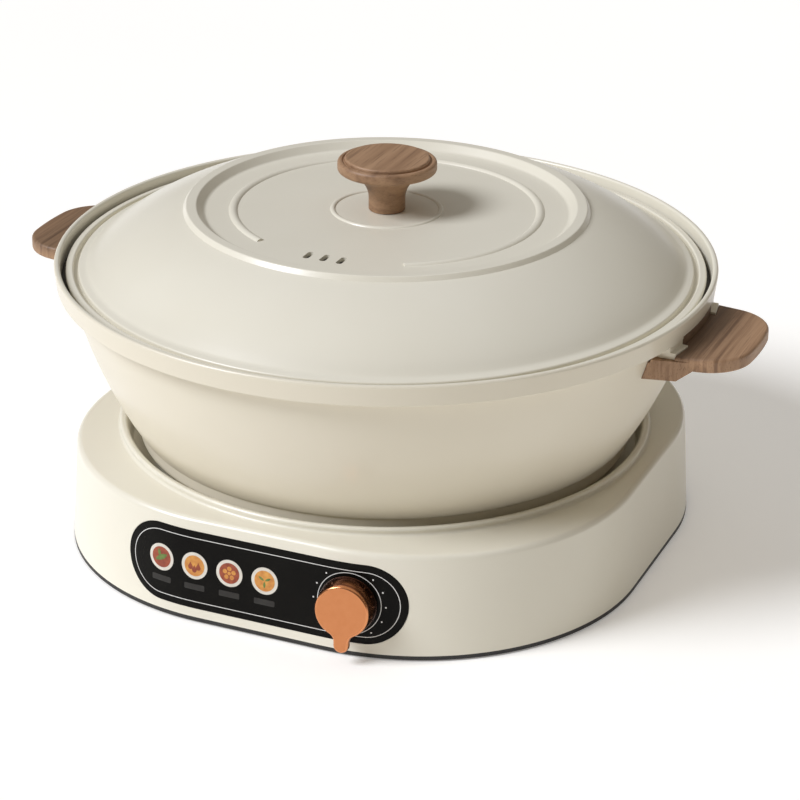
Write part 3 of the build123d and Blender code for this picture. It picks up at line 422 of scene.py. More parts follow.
def woodPaint(name, turn=(0, 0, 0), across=1, tall=0.22, spread=0.65, shade=None):  # fibres along Y before the turn
    paint, tree, shader, place = newPaint(name)
    broad, lines, fibres = [grain(tree, place, k, across, tall, turn) for k in ("broad", "lines", "fibres")]
    mixed = tree.nodes.new("ShaderNodeMix")
    mixed.inputs["Factor"].default_value = 0.5
    tree.links.new(broad, mixed.inputs["A"])
    tree.links.new(lines, mixed.inputs["B"])
    stops = [(0.5 + spread * spot, woodLook[tone]) for spot, tone in woodLook["stops"]]
    base = ramp(tree, mixed.outputs["Result"], stops)
    pores = between(tree, fibres, *woodLook["pores"])
    dark = tree.nodes.new("ShaderNodeMix")
    dark.data_type = "RGBA"
    tree.links.new(pores, dark.inputs["Factor"])
    tree.links.new(base, dark.inputs["A"])
    dark.inputs["B"].default_value = (*woodLook["pore"], 1)
    colour = dark.outputs["Result"]
    if shade:  # painted shade: the upper face darker towards the pot
        axes = tree.nodes.new("ShaderNodeSeparateXYZ")
        reach = tree.nodes.new("ShaderNodeMath")
        reach.operation = "ABSOLUTE"
        upper = tree.nodes.new("ShaderNodeMath")
        upper.operation = "MULTIPLY"
        tint = tree.nodes.new("ShaderNodeMix")
        tint.data_type = "RGBA"
        tint.blend_type = "MULTIPLY"
        tree.links.new(place.outputs["Object"], axes.inputs["Vector"])
        tree.links.new(axes.outputs["X"], reach.inputs[0])
        near = between(tree, reach.outputs["Value"], shade["depth"], 0, *shade["reach"])
        tree.links.new(near, upper.inputs[0])
        tree.links.new(between(tree, axes.outputs["Z"], 0, 1, *shade["height"]), upper.inputs[1])
        tree.links.new(upper.outputs["Value"], tint.inputs["Factor"])
        tree.links.new(colour, tint.inputs["A"])
        tint.inputs["B"].default_value = (*woodLook["shade"], 1)
        colour = tint.outputs["Result"]
    tree.links.new(colour, shader.inputs["Base Color"])
    tree.links.new(between(tree, lines, *woodLook["gloss"]), shader.inputs["Roughness"])
    bumped(tree, shader, fibres, woodLook["bump"])
    shader.inputs["Coat Weight"].default_value = woodLook["coat"]
    shader.inputs["Coat Roughness"].default_value = woodLook["coatRough"]
    return paint


creamCoat = plainPaint("creamCoat", creamCoatLook)
paintedShadePotCoat = plainPaint("paintedShadePotCoat", paintedShadePotCoatLook)
creamShell = plainPaint("creamShell", creamShellLook)
darkPlastic = plainPaint("darkPlastic", darkPlasticLook)
footRubber = plainPaint("footRubber", footRubberLook)
steel = plainPaint("steel", steelLook)
aluminium = plainPaint("aluminium", aluminiumLook)
whitePlastic = plainPaint("whitePlastic", whitePlasticLook)
brass = plainPaint("brass", brassLook)
boardGreen = plainPaint("boardGreen", boardLook)
lampMilk = plainPaint("lampMilk", lampLook)
sealRubber = plainPaint("sealRubber", sealLook)
panelBlack = plainPaint("panelBlack", panelLook)
copperFace = plainPaint("copperFace", copperFaceLook)
paintedReflectionCopper = reflectionRingPaint("paintedReflectionCopper", paintedReflectionCopperLook)
paleLine = plainPaint("paleLine", lineLook)
platePaint = plainPaint("platePaint", plateLook)
brothPaint = plainPaint("brothPaint", brothLook)
amberPaint = plainPaint("amberPaint", amberLook)
herbPaint = plainPaint("herbPaint", herbLook)
barPaint = plainPaint("barPaint", barLook)
paintedGutterShadow = plainPaint("paintedGutterShadow", paintedGutterShadowLook)
# painted shade on the handles' upper faces towards the pot; the left handle's reaches further, so it is darker
# overall
rightShade = {"depth": 0.8, "reach": (0.162, 0.190), "height": (0.1275, 0.1290)}
leftShade = {"depth": 0.62, "reach": (0.183, 0.208), "height": (0.1240, 0.1290)}
handleWood = woodPaint("handleWood", shade=rightShade)
shadedWood = woodPaint("shadedWood", shade=leftShade)
knobWood = woodPaint("knobWood", turn=(0, 0, math.radians(22)), across=0.45, tall=1.3, spread=1.15)
print("paints mixed")


# lid: a turned dome with rounded edges, an open bead and steam slots

lidShape = {
    "hole": 2.15, "plateau": 165.8, "wall": 2.0, "turns": 192,
    "hubBead": (26.8, 2.6, 0.8), "bead": (76.0, 4.4, 1.1), "beadGap": 29.5,
    "ring": 100.8, "ringFoot": 167.0, "ringTop": 169.4, "ringFlank": 1.6, "ringWidth": 5.0, "ringSlope": 3.8,
    "dome": 149.2, "domeRise": 3.0, "shoulder": 153.1, "shoulderZ": 140.5, "shoulderFall": 0.9,
    "groove": 2.3, "grooveZ": 137.0, "flange": 159.3, "flangeLow": 137.3, "flangeTop": 139.6, "flangeFall": 0.5,
    "foot": 155.9, "footZ": 135.5,
    "skirt": 152.9, "skirtWall": 1.8, "skirtLow": 131.5,
    "slots": 3, "slotPitch": 8.6, "slotLength": 8.6, "slotWidth": 3.2, "slotReach": 73.4,
    "beadSunk": 0.6, "beadSoft": 0.25, "beadTurns": 150,
    "soft": {
        "ringFoot": 2.2, "ringTop": 1.2, "ringEdge": 0.9, "dome": 5, "shoulder": 1.0, "groove": 0.3,
        "flangeIn": 0.8, "flange": 1.1, "flangeLow": 0.4, "foot": 0.3, "skirt": 0.5,
    },
}


def buildLid():
    s = lidShape
    top, wall, soft = s["plateau"], s["wall"], s["soft"]
    beadAt, beadWide, beadHigh = s["hubBead"]
    crest = s["ring"] - s["ringFlank"]
    inner = crest - s["ringWidth"]
    ringIn = s["shoulder"] + s["groove"]
    corners = [(s["hole"], top), (beadAt - beadWide / 2, top)]
    corners += bow((beadAt - beadWide / 2, top), (beadAt + beadWide / 2, top), beadHigh, 8)
    corners += [(inner - s["ringSlope"], top, soft["ringFoot"]), (inner, s["ringTop"], soft["ringTop"])]
    corners += [(crest, s["ringTop"], soft["ringEdge"]), (s["ring"], s["ringFoot"])]
    corners += bow((s["ring"], s["ringFoot"]), (s["dome"], s["shoulderZ"]), s["domeRise"], 36)[:-3]
    corners += [(s["dome"], s["shoulderZ"], soft["dome"])]
    corners += [(s["shoulder"], s["shoulderZ"] - s["shoulderFall"], soft["shoulder"])]
    corners += [(s["shoulder"], s["grooveZ"], soft["groove"]), (ringIn, s["grooveZ"], soft["groove"])]
    corners += [(ringIn, s["flangeTop"], soft["flangeIn"])]
    corners += [(s["flange"], s["flangeTop"] - s["flangeFall"], soft["flange"])]
    corners += [(s["flange"], s["flangeLow"], soft["flangeLow"])]
    corners += [(s["foot"], s["flangeLow"], soft["foot"]), (s["foot"], s["footZ"], soft["foot"])]
    corners += [(s["skirt"], s["footZ"]), (s["skirt"], s["skirtLow"], soft["skirt"])]
    inside = s["skirt"] - s["skirtWall"]
    corners += [(inside, s["skirtLow"], soft["skirt"]), (inside, s["footZ"])]
    low = (s["ring"] - wall / 2, s["ringFoot"] - wall)
    corners += bow((inside, s["footZ"]), low, -s["domeRise"], 30)
    corners += [(crest - wall, s["ringTop"] - wall), (inner + wall / 2, s["ringTop"] - wall)]
    corners += [(inner - s["ringSlope"] + wall / 2, top - wall), (s["hole"], top - wall)]
    lid = turnedPiece("lidShell", corners, s["turns"])
    for i in range(s["slots"]):
        x = (i - (s["slots"] - 1) / 2) * s["slotPitch"]
        half, wide, reach = s["slotLength"] / 2, s["slotWidth"] / 2, s["slotReach"]
        plan = softBox(x - wide, x + wide, -half - reach, half - reach, wide * nearlyRound)
        tool = outlinePiece("slotTool", plan, 10, True)
        raiseFace(top - 2 * wall, top + 2 * wall)
        combine(lid, tool)
    beadAt, beadWide, beadHigh = s["bead"]
    left, right = beadAt - beadWide / 2, beadAt + beadWide / 2
    sunk = top - s["beadSunk"]
    arch = [(left, sunk), (left, top)] + bow((left, top), (right, top), beadHigh, 10) + [(right, sunk)]
    bead = turnedPiece("lidBead", arch, s["beadTurns"], 360 - 2 * s["beadGap"], -s["beadGap"] - 90)
    softEdges(bead, s["beadSoft"], 2)
    combine(lid, bead, "UNION")
    finishPiece(lid, "cover", creamCoat, ["lid"])


buildLid()


# lid knob: a turned disc with a raised middle on a flared stem

knobShape = {
    "foot": 165.95, "stem": 9.1, "stemZ": 171.8, "bore": 2.0, "boreTop": 178.1,
    "throat": 20.2, "throatZ": 185.0, "throatBow": 3.115, "rim": 24.6, "under": 186.35, "edge": 191.6, "top": 193.0,
    "inset": 21.2, "groove": 0.7, "lip": 0.5, "topLean": 0.3, "turns": 128,
    "soft": {"foot": 0.5, "rim": 1.6, "lip": 0.4, "groove": 0.3, "top": 1.0},
}


def buildLidKnob():
    s = knobShape
    soft, grooveOut, grooveZ = s["soft"], s["inset"] + s["groove"], s["edge"] - s["groove"]
    corners = [(s["bore"], s["foot"]), (s["stem"], s["foot"], soft["foot"]), (s["stem"], s["stemZ"])]
    corners += bow((s["stem"], s["stemZ"]), (s["throat"], s["throatZ"]), s["throatBow"], 14)
    corners += [(s["rim"], s["under"], soft["rim"]), (s["rim"], s["edge"], soft["rim"])]
    corners += [(grooveOut + s["lip"], s["edge"], soft["lip"]), (grooveOut, grooveZ, soft["groove"])]
    corners += [(s["inset"], grooveZ, soft["groove"]), (s["inset"] - s["topLean"], s["top"], soft["top"])]
    corners += [(0, s["top"]), (0, s["boreTop"]), (s["bore"], s["boreTop"])]
    knob = turnedPiece("lidGrip", corners, s["turns"])
    finishPiece(knob, "cover", knobWood, ["lid_knob"])


buildLidKnob()


# pot: a turned bowl with a band under the rim, and for each handle two ears with a notch between them

potShape = {
    "turns": 224, "bottom": 48.0, "foot": 124.9, "footSoft": 4.6, "footLean": 0.7, "step": 1.3,
    "edge": 126.9, "edgeZ": 58.4, "wallTop": 156.5, "wallTopZ": 129.9, "wallRise": 3.4, "throat": 2.6,
    "bandFoot": 163.8, "bandZ": 132.5, "rim": 165.0, "rimZ": 143.1, "rimIn": 162.1, "rimSoft": 1.2,
    "ledge": 161.4, "ledgeZ": 135.2, "grooveIn": 158.7, "grooveZ": 133.8, "wall": 3.0, "floor": 51.2,
    "ear": (154.6, 166.4, 127.2, 130.2), "earHalf": 34.5, "notch": (162.6, 124.2, 134.4), "notchHalf": 22.0,
    "bandIn": 0.2, "floorLean": 0.06, "floorSoft": 0.9, "collarIn": 0.15, "collarUp": 1, "earEdge": 0.4,
    "notchOut": 4, "sector": 40, "slack": 0.1, "grooveSlack": 0.3,
    "soft": {
        "step": 0.5, "edge": 0.6, "band": 0.8, "groove": 0.4, "grooveIn": 0.3, "ledge": 0.8,
        "ear": 0.5, "collar": 0.3,
    },
}
sectorReach, sectorHeight = 250, 200


def sideSector(name, shape, side, half):  # a turned sector at one end of the X axis, cut to a width of twice half
    sweep = potShape["sector"]
    piece = turnedPiece(name, shape, sweep, sweep, side + sweep / 2)
    low, high = (-sectorReach, -half, 0), (sectorReach, half, sectorHeight)
    combine(piece, boxTool("sectorCut", low, high), "INTERSECT")
    return piece


def buildPot():
    s, soft = potShape, potShape["soft"]
    inTop, inEdge = s["wallTop"] - s["wall"], s["edge"] - s["wall"]
    corners = [(0, s["bottom"]), (s["foot"], s["bottom"], s["footSoft"])]
    corners += [(s["foot"] + s["footLean"], s["edgeZ"] - s["step"], soft["step"])]
    corners += [(s["edge"], s["edgeZ"], soft["edge"])]
    corners += bow((s["edge"], s["edgeZ"]), (s["wallTop"], s["wallTopZ"]), -s["wallRise"], 40)[2:]
    corners += [(s["wallTop"] + s["bandIn"], s["bandZ"], s["throat"]), (s["bandFoot"], s["bandZ"], soft["band"])]
    corners += [(s["rim"], s["rimZ"], s["rimSoft"]), (s["rimIn"], s["rimZ"], s["rimSoft"])]
    corners += [(s["ledge"], s["grooveZ"], soft["groove"]), (s["grooveIn"], s["grooveZ"], soft["groove"])]
    corners += [(s["grooveIn"], s["ledgeZ"], soft["grooveIn"])]
    corners += [(inTop, s["ledgeZ"], soft["ledge"]), (inTop, s["wallTopZ"])]
    corners += bow((inTop, s["wallTopZ"]), (inEdge, s["edgeZ"]), s["wallRise"], 36)
    deep = s["edgeZ"] - s["floor"]
    corners += [(inEdge - deep * s["floorLean"], s["floor"], deep * s["floorSoft"]), (0, s["floor"])]
    pot = turnedPiece("potShell", corners, s["turns"], steps=6)
    inner, outer, low, top = s["ear"]
    notchIn, notchLow, notchTop = s["notch"]
    collar, high, notchOut = s["bandFoot"] - s["collarIn"], s["bandZ"] + s["collarUp"], outer + s["notchOut"]
    earShape = [(inner, low), (outer, low, soft["ear"]), (outer, top, soft["ear"])]
    earShape += [(collar, top, soft["collar"]), (collar, high), (inner, high)]
    notchShape = [(notchIn, notchLow), (notchOut, notchLow), (notchOut, notchTop), (notchIn, notchTop)]
    for side in (0, 180):
        ear = sideSector("earTool", earShape, side, s["earHalf"])
        softEdges(ear, s["earEdge"], 2)
        combine(pot, ear, "UNION")
        combine(pot, sideSector("notchTool", notchShape, side, s["notchHalf"]))
    finishPiece(pot, "pot", paintedShadePotCoat, ["pot_body"])
    pot.data.materials.append(paintedGutterShadow)
    pot.data.materials.append(creamCoat)
    # the gutter's floor faces take the painted shadow
    grooveFrom, grooveTo = s["grooveIn"] - s["slack"], s["ledge"] + s["grooveSlack"]
    grooveLow, ledgeZ = s["grooveZ"] - s["slack"], s["ledgeZ"] - s["slack"]
    for face in pot.data.polygons:
        reach, height = face.center.xy.length / mm, face.center.z / mm
        if grooveFrom < reach < grooveTo and grooveLow < height < ledgeZ:
            face.material_index = 1
        # the rim's top and inner side take the lid's lighter cream, and the walls keep the darker painted-shade
        # copy
        elif height > ledgeZ and reach < s["rim"] - s["rimSoft"]:
            face.material_index = 2


buildPot()


# base: a drafted rounded square, its top pulled up into a kerb and down into the recess

baseShape = {
    "halfX": 148.0, "halfY": 149.0, "corner": 115.0, "low": 2.8, "top": 53.6, "lean": 3.6, "edge": 2.8,
    "segments": 36, "cuts": 9, "kerbFoot": 137.1, "kerbCrest": 133.3, "kerbTop": 57.0, "mouth": 131.1,
    "wellFloor": 129.1, "wellZ": 44.6, "opening": 106.0, "wall": 2.2,
    "edgeSteps": 7, "floorThick": 2, "wellSoft": 1.5, "openingSoft": 0.4, "kerbEase": 0.98, "kerbSteps": 6,
    "kerbSlip": 0.05,
}
longEdge, broadFace = 0.04, 0.01  # metres and square metres, which pick the straight sides and the great face


def leanAt(z):
    return baseShape["lean"] * z / baseShape["top"]


def buildBase():
    s = baseShape
    freshStart()
    bpy.ops.mesh.primitive_plane_add(size=2)
    shell = bpy.context.object
    shell.name = shell.data.name = "baseShell"
    shrink = leanAt(s["low"])
    bpy.ops.object.mode_set(mode="EDIT")
    bpy.ops.mesh.select_all(action="SELECT")
    bpy.ops.transform.resize(value=((s["halfX"] - shrink) * mm, (s["halfY"] - shrink) * mm, 1))
    bpy.ops.transform.translate(value=(0, 0, s["low"] * mm))
    bpy.ops.mesh.bevel(offset=(s["corner"] - shrink) * mm, segments=s["segments"], affect="VERTICES")
    pick(shell, "EDGE", lambda e: e.calc_length() > longEdge)
    bpy.ops.mesh.subdivide(number_cuts=s["cuts"])
    pick(shell, "FACE", lambda f: True)
    bpy.ops.mesh.inset(thickness=(s["lean"] - shrink) * mm, depth=(s["top"] - s["low"]) * mm)
    bpy.ops.mesh.region_to_loop()
    bpy.ops.mesh.bevel(offset=s["edge"] * mm, segments=s["edgeSteps"], affect="EDGES")
    top = s["top"] * mm
    pick(shell, "FACE", lambda f: f.calc_area() > broadFace)
    bpy.ops.mesh.delete(type="ONLY_FACE")
    count = 4 * (s["segments"] + 1 + s["cuts"])
    bpy.ops.mesh.primitive_circle_add(vertices=count, radius=s["kerbFoot"] * mm, location=(0, 0, top))
    pick(shell, "EDGE", lambda e: len(e.link_faces) < 2 and min(v.co.z for v in e.verts) > top - mm)
    bpy.ops.mesh.bridge_edge_loops()
    ring = s["kerbFoot"] * mm + weldGap
    pick(shell, "EDGE", lambda e: len(e.link_faces) < 2 and all(v.co.xy.length < ring for v in e.verts))
    foot, crest = Vector((s["kerbFoot"], s["top"])), Vector((s["kerbCrest"], s["kerbTop"]))
    middle = (foot + crest) / 2
    climb = math.atan2(crest.y - foot.y, foot.x - crest.x)
    lift = (crest - foot).length / 2 * math.tan(climb / 2) * s["kerbEase"]
    path = [foot[:]] + bow(foot, middle, lift, s["kerbSteps"]) + bow(middle, crest, -lift, s["kerbSteps"])
    soft, slip = s["kerbCrest"] - s["mouth"], s["kerbSlip"]
    rounded = [crest[:], (s["mouth"], s["kerbTop"], soft - slip), (s["mouth"], s["kerbTop"] - soft - slip)]
    recess = [(s["mouth"], s["kerbTop"] - soft - 2 * slip), (s["wellFloor"], s["wellZ"], s["wellSoft"])]
    recess += [(s["opening"], s["wellZ"], s["openingSoft"]), (s["opening"], s["wellZ"] - s["floorThick"])]
    path += [p[:] for p in softPath(rounded, False, 7) + softPath(recess, False)]
    for (r0, z0), (r1, z1) in zip(path, path[1:]):
        bpy.ops.mesh.extrude_edges_move()
        bpy.ops.transform.resize(value=(r1 / r0, r1 / r0, 1), center_override=(0, 0, 0))
        bpy.ops.transform.translate(value=(0, 0, (z1 - z0) * mm))
    low, under = s["low"] * mm, (s["wellZ"] - s["floorThick"]) * mm
    pick(shell, "EDGE", lambda e: len(e.link_faces) < 2 and max(v.co.z for v in e.verts) < low + mm)
    bpy.ops.mesh.edge_face_add()
    bpy.ops.mesh.inset(thickness=s["wall"] * mm)
    bpy.ops.mesh.extrude_region_move(TRANSFORM_OT_translate={"value": (0, 0, under - low)})
    narrow = 1 - (leanAt(s["wellZ"]) - shrink) / (s["halfX"] - s["wall"])
    bpy.ops.transform.resize(value=(narrow, narrow, 1), center_override=(0, 0, under))
    bpy.ops.mesh.delete(type="ONLY_FACE")
    pick(shell, "EDGE", lambda e: len(e.link_faces) < 2)
    bpy.ops.mesh.bridge_edge_loops()
    weldAll()
    bpy.ops.mesh.normals_make_consistent(inside=False)
    bpy.ops.object.mode_set(mode="OBJECT")
    return shell


# front panel: a stadium sheet laid on the wall, with its seat cut into the base

panelShape = {
    "length": 146.0, "height": 40.0, "centre": 27.4, "thick": 1.5, "proud": 0.2, "gap": 0.15,
    "cut": 3.0, "edge": 0.3, "seatOut": 3,
}
inletShape = {"low": (-15.15, 130, 16.85), "high": (15.15, 165, 39.15), "edge": 2.5}
wallReach = 0.25  # metres, from the middle to well in front of the wall


def layOn(piece, shell, lift):  # sends a sheet back on to the front wall, then out by lift
    editAll(piece)
    bpy.ops.transform.translate(value=(0, -wallReach, 0))
    bpy.ops.object.mode_set(mode="OBJECT")
    applyModifier(piece, "SHRINKWRAP", target=shell, wrap_method="PROJECT", use_project_y=True)
    editAll(piece)
    bpy.ops.transform.shrink_fatten(value=lift * mm)
    bpy.ops.object.mode_set(mode="OBJECT")


def faceTowards(piece, heading):
    bpy.ops.mesh.select_mode(type="FACE")
    bpy.ops.mesh.select_all(action="SELECT")
    mesh = bmesh.from_edit_mesh(piece.data)
    if sum(f.normal.dot(Vector(heading)) for f in mesh.faces) < 0:
        bpy.ops.mesh.flip_normals()


def sliceAcross(low, high, step):  # upright cuts, so that a sheet can bend round the wall
    x = low + step
    while x < high:
        bpy.ops.mesh.select_all(action="SELECT")
        bpy.ops.mesh.bisect(plane_co=(x * mm, 0, 0), plane_no=(1, 0, 0))
        x += step


def panelSheet(name, grow):
    s = panelShape
    half, rise = s["length"] / 2 + grow, s["height"] / 2 + grow
    corners = softBox(-half, half, s["centre"] - rise, s["centre"] + rise, rise * nearlyRound)
    sheet = outlinePiece(name, corners, 18)
    sliceAcross(-half, half, s["cut"])
    faceTowards(sheet, (0, -1, 0))
    bpy.ops.object.mode_set(mode="OBJECT")
    return sheet


def buildPanel(shell):
    s = panelShape
    panel = panelSheet("frontPanel", 0)
    layOn(panel, shell, s["proud"])
    seat = panelSheet("seatTool", s["gap"])
    layOn(seat, shell, s["seatOut"])
    panelDeep, seatDeep = s["thick"] + s["proud"], s["seatOut"] + s["thick"] + s["gap"]
    applyModifier(panel, "SOLIDIFY", thickness=panelDeep * mm, offset=-1, use_even_offset=True)
    softEdges(panel, s["edge"], 3)
    applyModifier(seat, "SOLIDIFY", thickness=seatDeep * mm, offset=-1, use_even_offset=True)
    return panel, seat


baseShell = buildBase()
frontPanel, seatTool = buildPanel(baseShell)
combine(baseShell, seatTool)
combine(baseShell, boxTool("inletTool", inletShape["low"], inletShape["high"], inletShape["edge"]))
finishPiece(baseShell, "base", creamShell, ["base_shell"], 30)
finishPiece(frontPanel, "base", panelBlack, ["front_panel"], 40)


# panel print: thin sheets that lie on the panel, with a border line, four roundels, bars and dial dots

printShape = {
    "border": 3.4, "line": 0.34, "dialRing": 15.64, "dialX": 45.4, "dialZ": 27.1, "dotReach": 17.6, "dot": 0.42,
    "roundels": (-53.0, -34.5, -16.0, 2.5), "roundelZ": 29.6, "plate": 6.9, "dish": 5.3,
    "barZ": 18.6, "bar": (5.4, 1.5, 0.6), "cut": 2.0, "sheet": 0.05, "lifts": (0.04, 0.09, 0.14),
    "dotTurns": (130, 155, 180, 205, 230, -50, -25, 0, 25, 50),
    "leaf": (3.9, 1.3), "leafTurn": 30, "sprig": (1.9, 0.8), "sprigAt": (-1.2, 2.2), "sprigTurn": 100,
    "blade": (1.7, 0.6), "bladeReach": 2, "bladeTurns": (0.5, 2.6, 4.7),
    "petals": 5, "petalReach": 2.4, "petalTurn": 0.3, "petal": 1.15, "heart": 0.9,
    "drop": 1.25, "dropTip": 2.1, "drops": ((-2.1, -0.8), (0, -2.2), (2.1, -0.8)),
}


def ringOf(x, z, radius, count=48):
    turns = [math.tau * i / count for i in range(count)]
    return [(x + radius * math.cos(t), z + radius * math.sin(t)) for t in turns]


def leafOf(x, z, reach, wide, turn):
    tip = Vector((math.cos(turn), math.sin(turn))) * reach
    a, b = Vector((x, z)) - tip, Vector((x, z)) + tip
    return [a[:]] + bow(a, b, wide, 12) + bow(b, a, wide, 12)[:-1]


def dropOf(x, z, size):
    turns = [math.radians(-210 + 10 * i) for i in range(25)]
    tip = (x, z + printShape["dropTip"] * size)
    return [(x + size * math.cos(t), z + size * math.sin(t)) for t in turns] + [tip]


def printSheet(name, outlines, shell, paint, lift, width=0):
    s = printShape
    sheets = []
    for outline in outlines:
        sheet = outlinePiece(name, outline, 18)
        if width:
            bpy.ops.mesh.inset(thickness=width * mm)
            bpy.ops.mesh.delete(type="FACE")
        sliceAcross(min(p[0] for p in outline), max(p[0] for p in outline), s["cut"])
        faceTowards(sheet, (0, -1, 0))
        bpy.ops.object.mode_set(mode="OBJECT")
        sheets.append(sheet)
    makeActive(sheets[0])
    for sheet in sheets:
        sheet.select_set(True)
    if len(sheets) > 1:
        bpy.ops.object.join()
    layOn(sheets[0], shell, lift)
    applyModifier(sheets[0], "SOLIDIFY", thickness=s["sheet"] * mm, offset=-1)
    return finishPiece(sheets[0], "base", paint)


def buildPrint(panel):
    s = printShape
    p = panelShape
    half, rise = p["length"] / 2 - s["border"], p["height"] / 2 - s["border"]
    border = softBox(-half, half, p["centre"] - rise, p["centre"] + rise, rise * nearlyRound)
    dial = ringOf(s["dialX"], s["dialZ"], s["dialRing"], 96)
    first, second, third = s["lifts"]
    printSheet("panelBorder", [border, dial], panel, paleLine, first, s["line"])
    dots = []
    for turn in s["dotTurns"]:
        t = math.radians(turn)
        x, z = s["dialX"] + s["dotReach"] * math.cos(t), s["dialZ"] + s["dotReach"] * math.sin(t)
        dots.append(ringOf(x, z, s["dot"], 16))
    printSheet("dialDots", dots, panel, paleLine, first)
    spots, z = s["roundels"], s["roundelZ"]
    printSheet("roundelPlates", [ringOf(x, z, s["plate"]) for x in spots], panel, platePaint, first)
    printSheet("brothDishes", [ringOf(x, z, s["dish"]) for x in spots[::2]], panel, brothPaint, second)
    printSheet("amberDishes", [ringOf(x, z, s["dish"]) for x in spots[1::2]], panel, amberPaint, second)
    wide, tall, soft = s["bar"]
    bars = [softBox(x - wide, x + wide, s["barZ"] - tall, s["barZ"] + tall, soft) for x in spots]
    printSheet("roundelBars", bars, panel, barPaint, first)
    leaves = [leafOf(spots[0], z, *s["leaf"], math.radians(s["leafTurn"]))]
    dx, dz = s["sprigAt"]
    leaves += [leafOf(spots[0] + dx, z + dz, *s["sprig"], math.radians(s["sprigTurn"]))]
    for t in s["bladeTurns"]:
        dx, dz = s["bladeReach"] * math.cos(t), s["bladeReach"] * math.sin(t)
        leaves.append(leafOf(spots[3] + dx, z + dz, *s["blade"], t))
    printSheet("herbLeaves", leaves, panel, herbPaint, third)
    petals = []
    for i in range(s["petals"]):
        t = math.tau * i / s["petals"] + s["petalTurn"]
        dx, dz = s["petalReach"] * math.cos(t), s["petalReach"] * math.sin(t)
        petals.append(ringOf(spots[2] + dx, z + dz, s["petal"], 24))
    printSheet("amberPetals", petals + [ringOf(spots[2], z, s["heart"], 24)], panel, amberPaint, third)
    drops = [dropOf(spots[1] + dx, z + dz, s["drop"]) for dx, dz in s["drops"]]
    printSheet("brothDrops", drops, panel, brothPaint, third)


buildPrint(frontPanel)


# dial: a tapered cup under a flat drop-shaped face

dialShape = {
    "x": 45.4, "z": 27.1, "gap": 1.1, "radius": 14.2, "face": 12.9, "height": 11.2, "plate": 2.6,
    "pointer": 20.6, "width": 7.0, "flare": 4.5, "soft": 0.8, "cup": 10.6, "hub": 4.8, "hubLow": 2.5, "bore": 3.05,
    "lowSoft": 0.3, "lap": 1, "slip": (0.002, 0.02), "faceSlack": 0.1, "faceUp": 0.999, "turns": 128,
    "roundSteps": 96, "flareSteps": 12, "tipSteps": 24,
}


def dialPlace():  # on the wall's outside, Z along its normal
    s = dialShape
    b = baseShape
    shrink = leanAt(s["z"])
    off = s["x"] - (b["halfX"] - b["corner"])
    radius = b["corner"] - shrink
    turn = math.asin(off / radius)
    draft = math.atan2(b["lean"], b["top"])
    y = -(b["halfY"] - b["corner"] + math.sqrt(radius * radius - off * off))
    across = Vector((math.cos(turn), math.sin(turn), 0))
    out = Vector((math.sin(turn) * math.cos(draft), -math.cos(turn) * math.cos(draft), math.sin(draft)))
    up = out.cross(across)
    place = Matrix((across, up, out)).transposed().to_4x4()
    place.translation = Vector((s["x"], y, s["z"])) * mm
    return place


def dropOutline(grow):
    s = dialShape
    radius, half, flare = s["face"] + grow, s["width"] / 2 + grow, s["flare"] - grow
    tip = s["width"] / 2 - s["pointer"]
    flareY = -math.sqrt((radius + flare) ** 2 - (half + flare) ** 2)
    first = math.atan2(flareY, half + flare)
    points = []
    for i in range(s["roundSteps"] + 1):  # round the face from one flare to the other
        t = first + (math.pi - 2 * first) * i / s["roundSteps"]
        points.append((radius * math.cos(t), radius * math.sin(t)))
    for i in range(1, s["flareSteps"] + 1):  # left flare, down to the pointer's side
        t = first * (i / s["flareSteps"] - 1)
        points.append((-(half + flare) + flare * math.cos(t), flareY + flare * math.sin(t)))
    for i in range(s["tipSteps"] + 1):  # round the tip
        t = math.pi + math.pi * i / s["tipSteps"]
        points.append((half * math.cos(t), tip + half * math.sin(t)))
    for i in range(s["flareSteps"]):  # right flare, back up
        t = math.pi + first * i / s["flareSteps"]
        points.append(((half + flare) + flare * math.cos(t), flareY + flare * math.sin(t)))
    return points


def buildDial():
    s = dialShape
    low = s["height"] - s["plate"]
    slope = (s["radius"] - s["face"]) / (s["height"] - s["gap"])
    spread = slope * s["plate"]
    plate = outlinePiece("dialFace", dropOutline(spread), 1, True)
    faceTowards(plate, (0, 0, 1))
    bpy.ops.transform.translate(value=(0, 0, low * mm))
    bpy.ops.mesh.inset(thickness=spread * mm, depth=s["plate"] * mm)
    bpy.ops.mesh.region_to_loop()
    bpy.ops.mesh.bevel(offset=s["soft"] * mm, segments=4, affect="EDGES")
    pick(plate, "EDGE", lambda e: len(e.link_faces) < 2)
    bpy.ops.mesh.edge_face_add()
    bpy.ops.mesh.select_all(action="SELECT")
    bpy.ops.mesh.normals_make_consistent(inside=False)
    bpy.ops.object.mode_set(mode="OBJECT")
    upper, high = s["face"] + spread, low + s["lap"]
    out, rise = s["slip"]
    corners = [(s["bore"], s["hubLow"]), (s["hub"], s["hubLow"]), (s["hub"], low), (s["cup"], low)]
    corners += [(s["cup"], s["gap"]), (s["radius"], s["gap"], s["lowSoft"]), (upper + out, low + rise)]
    corners += [(upper - s["lap"], high), (s["bore"], high)]
    cup = turnedPiece("controlDial", corners, s["turns"])
    combine(cup, plate, "UNION")
    cup.data.materials.clear()
    cup.data.materials.append(paintedReflectionCopper)
    cup.data.materials.append(copperFace)
    faceZ = (s["height"] - s["faceSlack"]) * mm
    for face in cup.data.polygons:
        face.material_index = 1 if face.normal.z > s["faceUp"] and face.center.z > faceZ else 0
    depth = cup.data.attributes.new("depth", "FLOAT", "POINT")
    for spot, point in zip(depth.data, cup.data.vertices):
        spot.value = point.co.z / (s["height"] * mm)
    cup.matrix_world = dialPlace()
    finishPiece(cup, "dial", None, ["control_knob"], 30)


buildDial()


# handles: the solid's form, with the root filled up to the ears

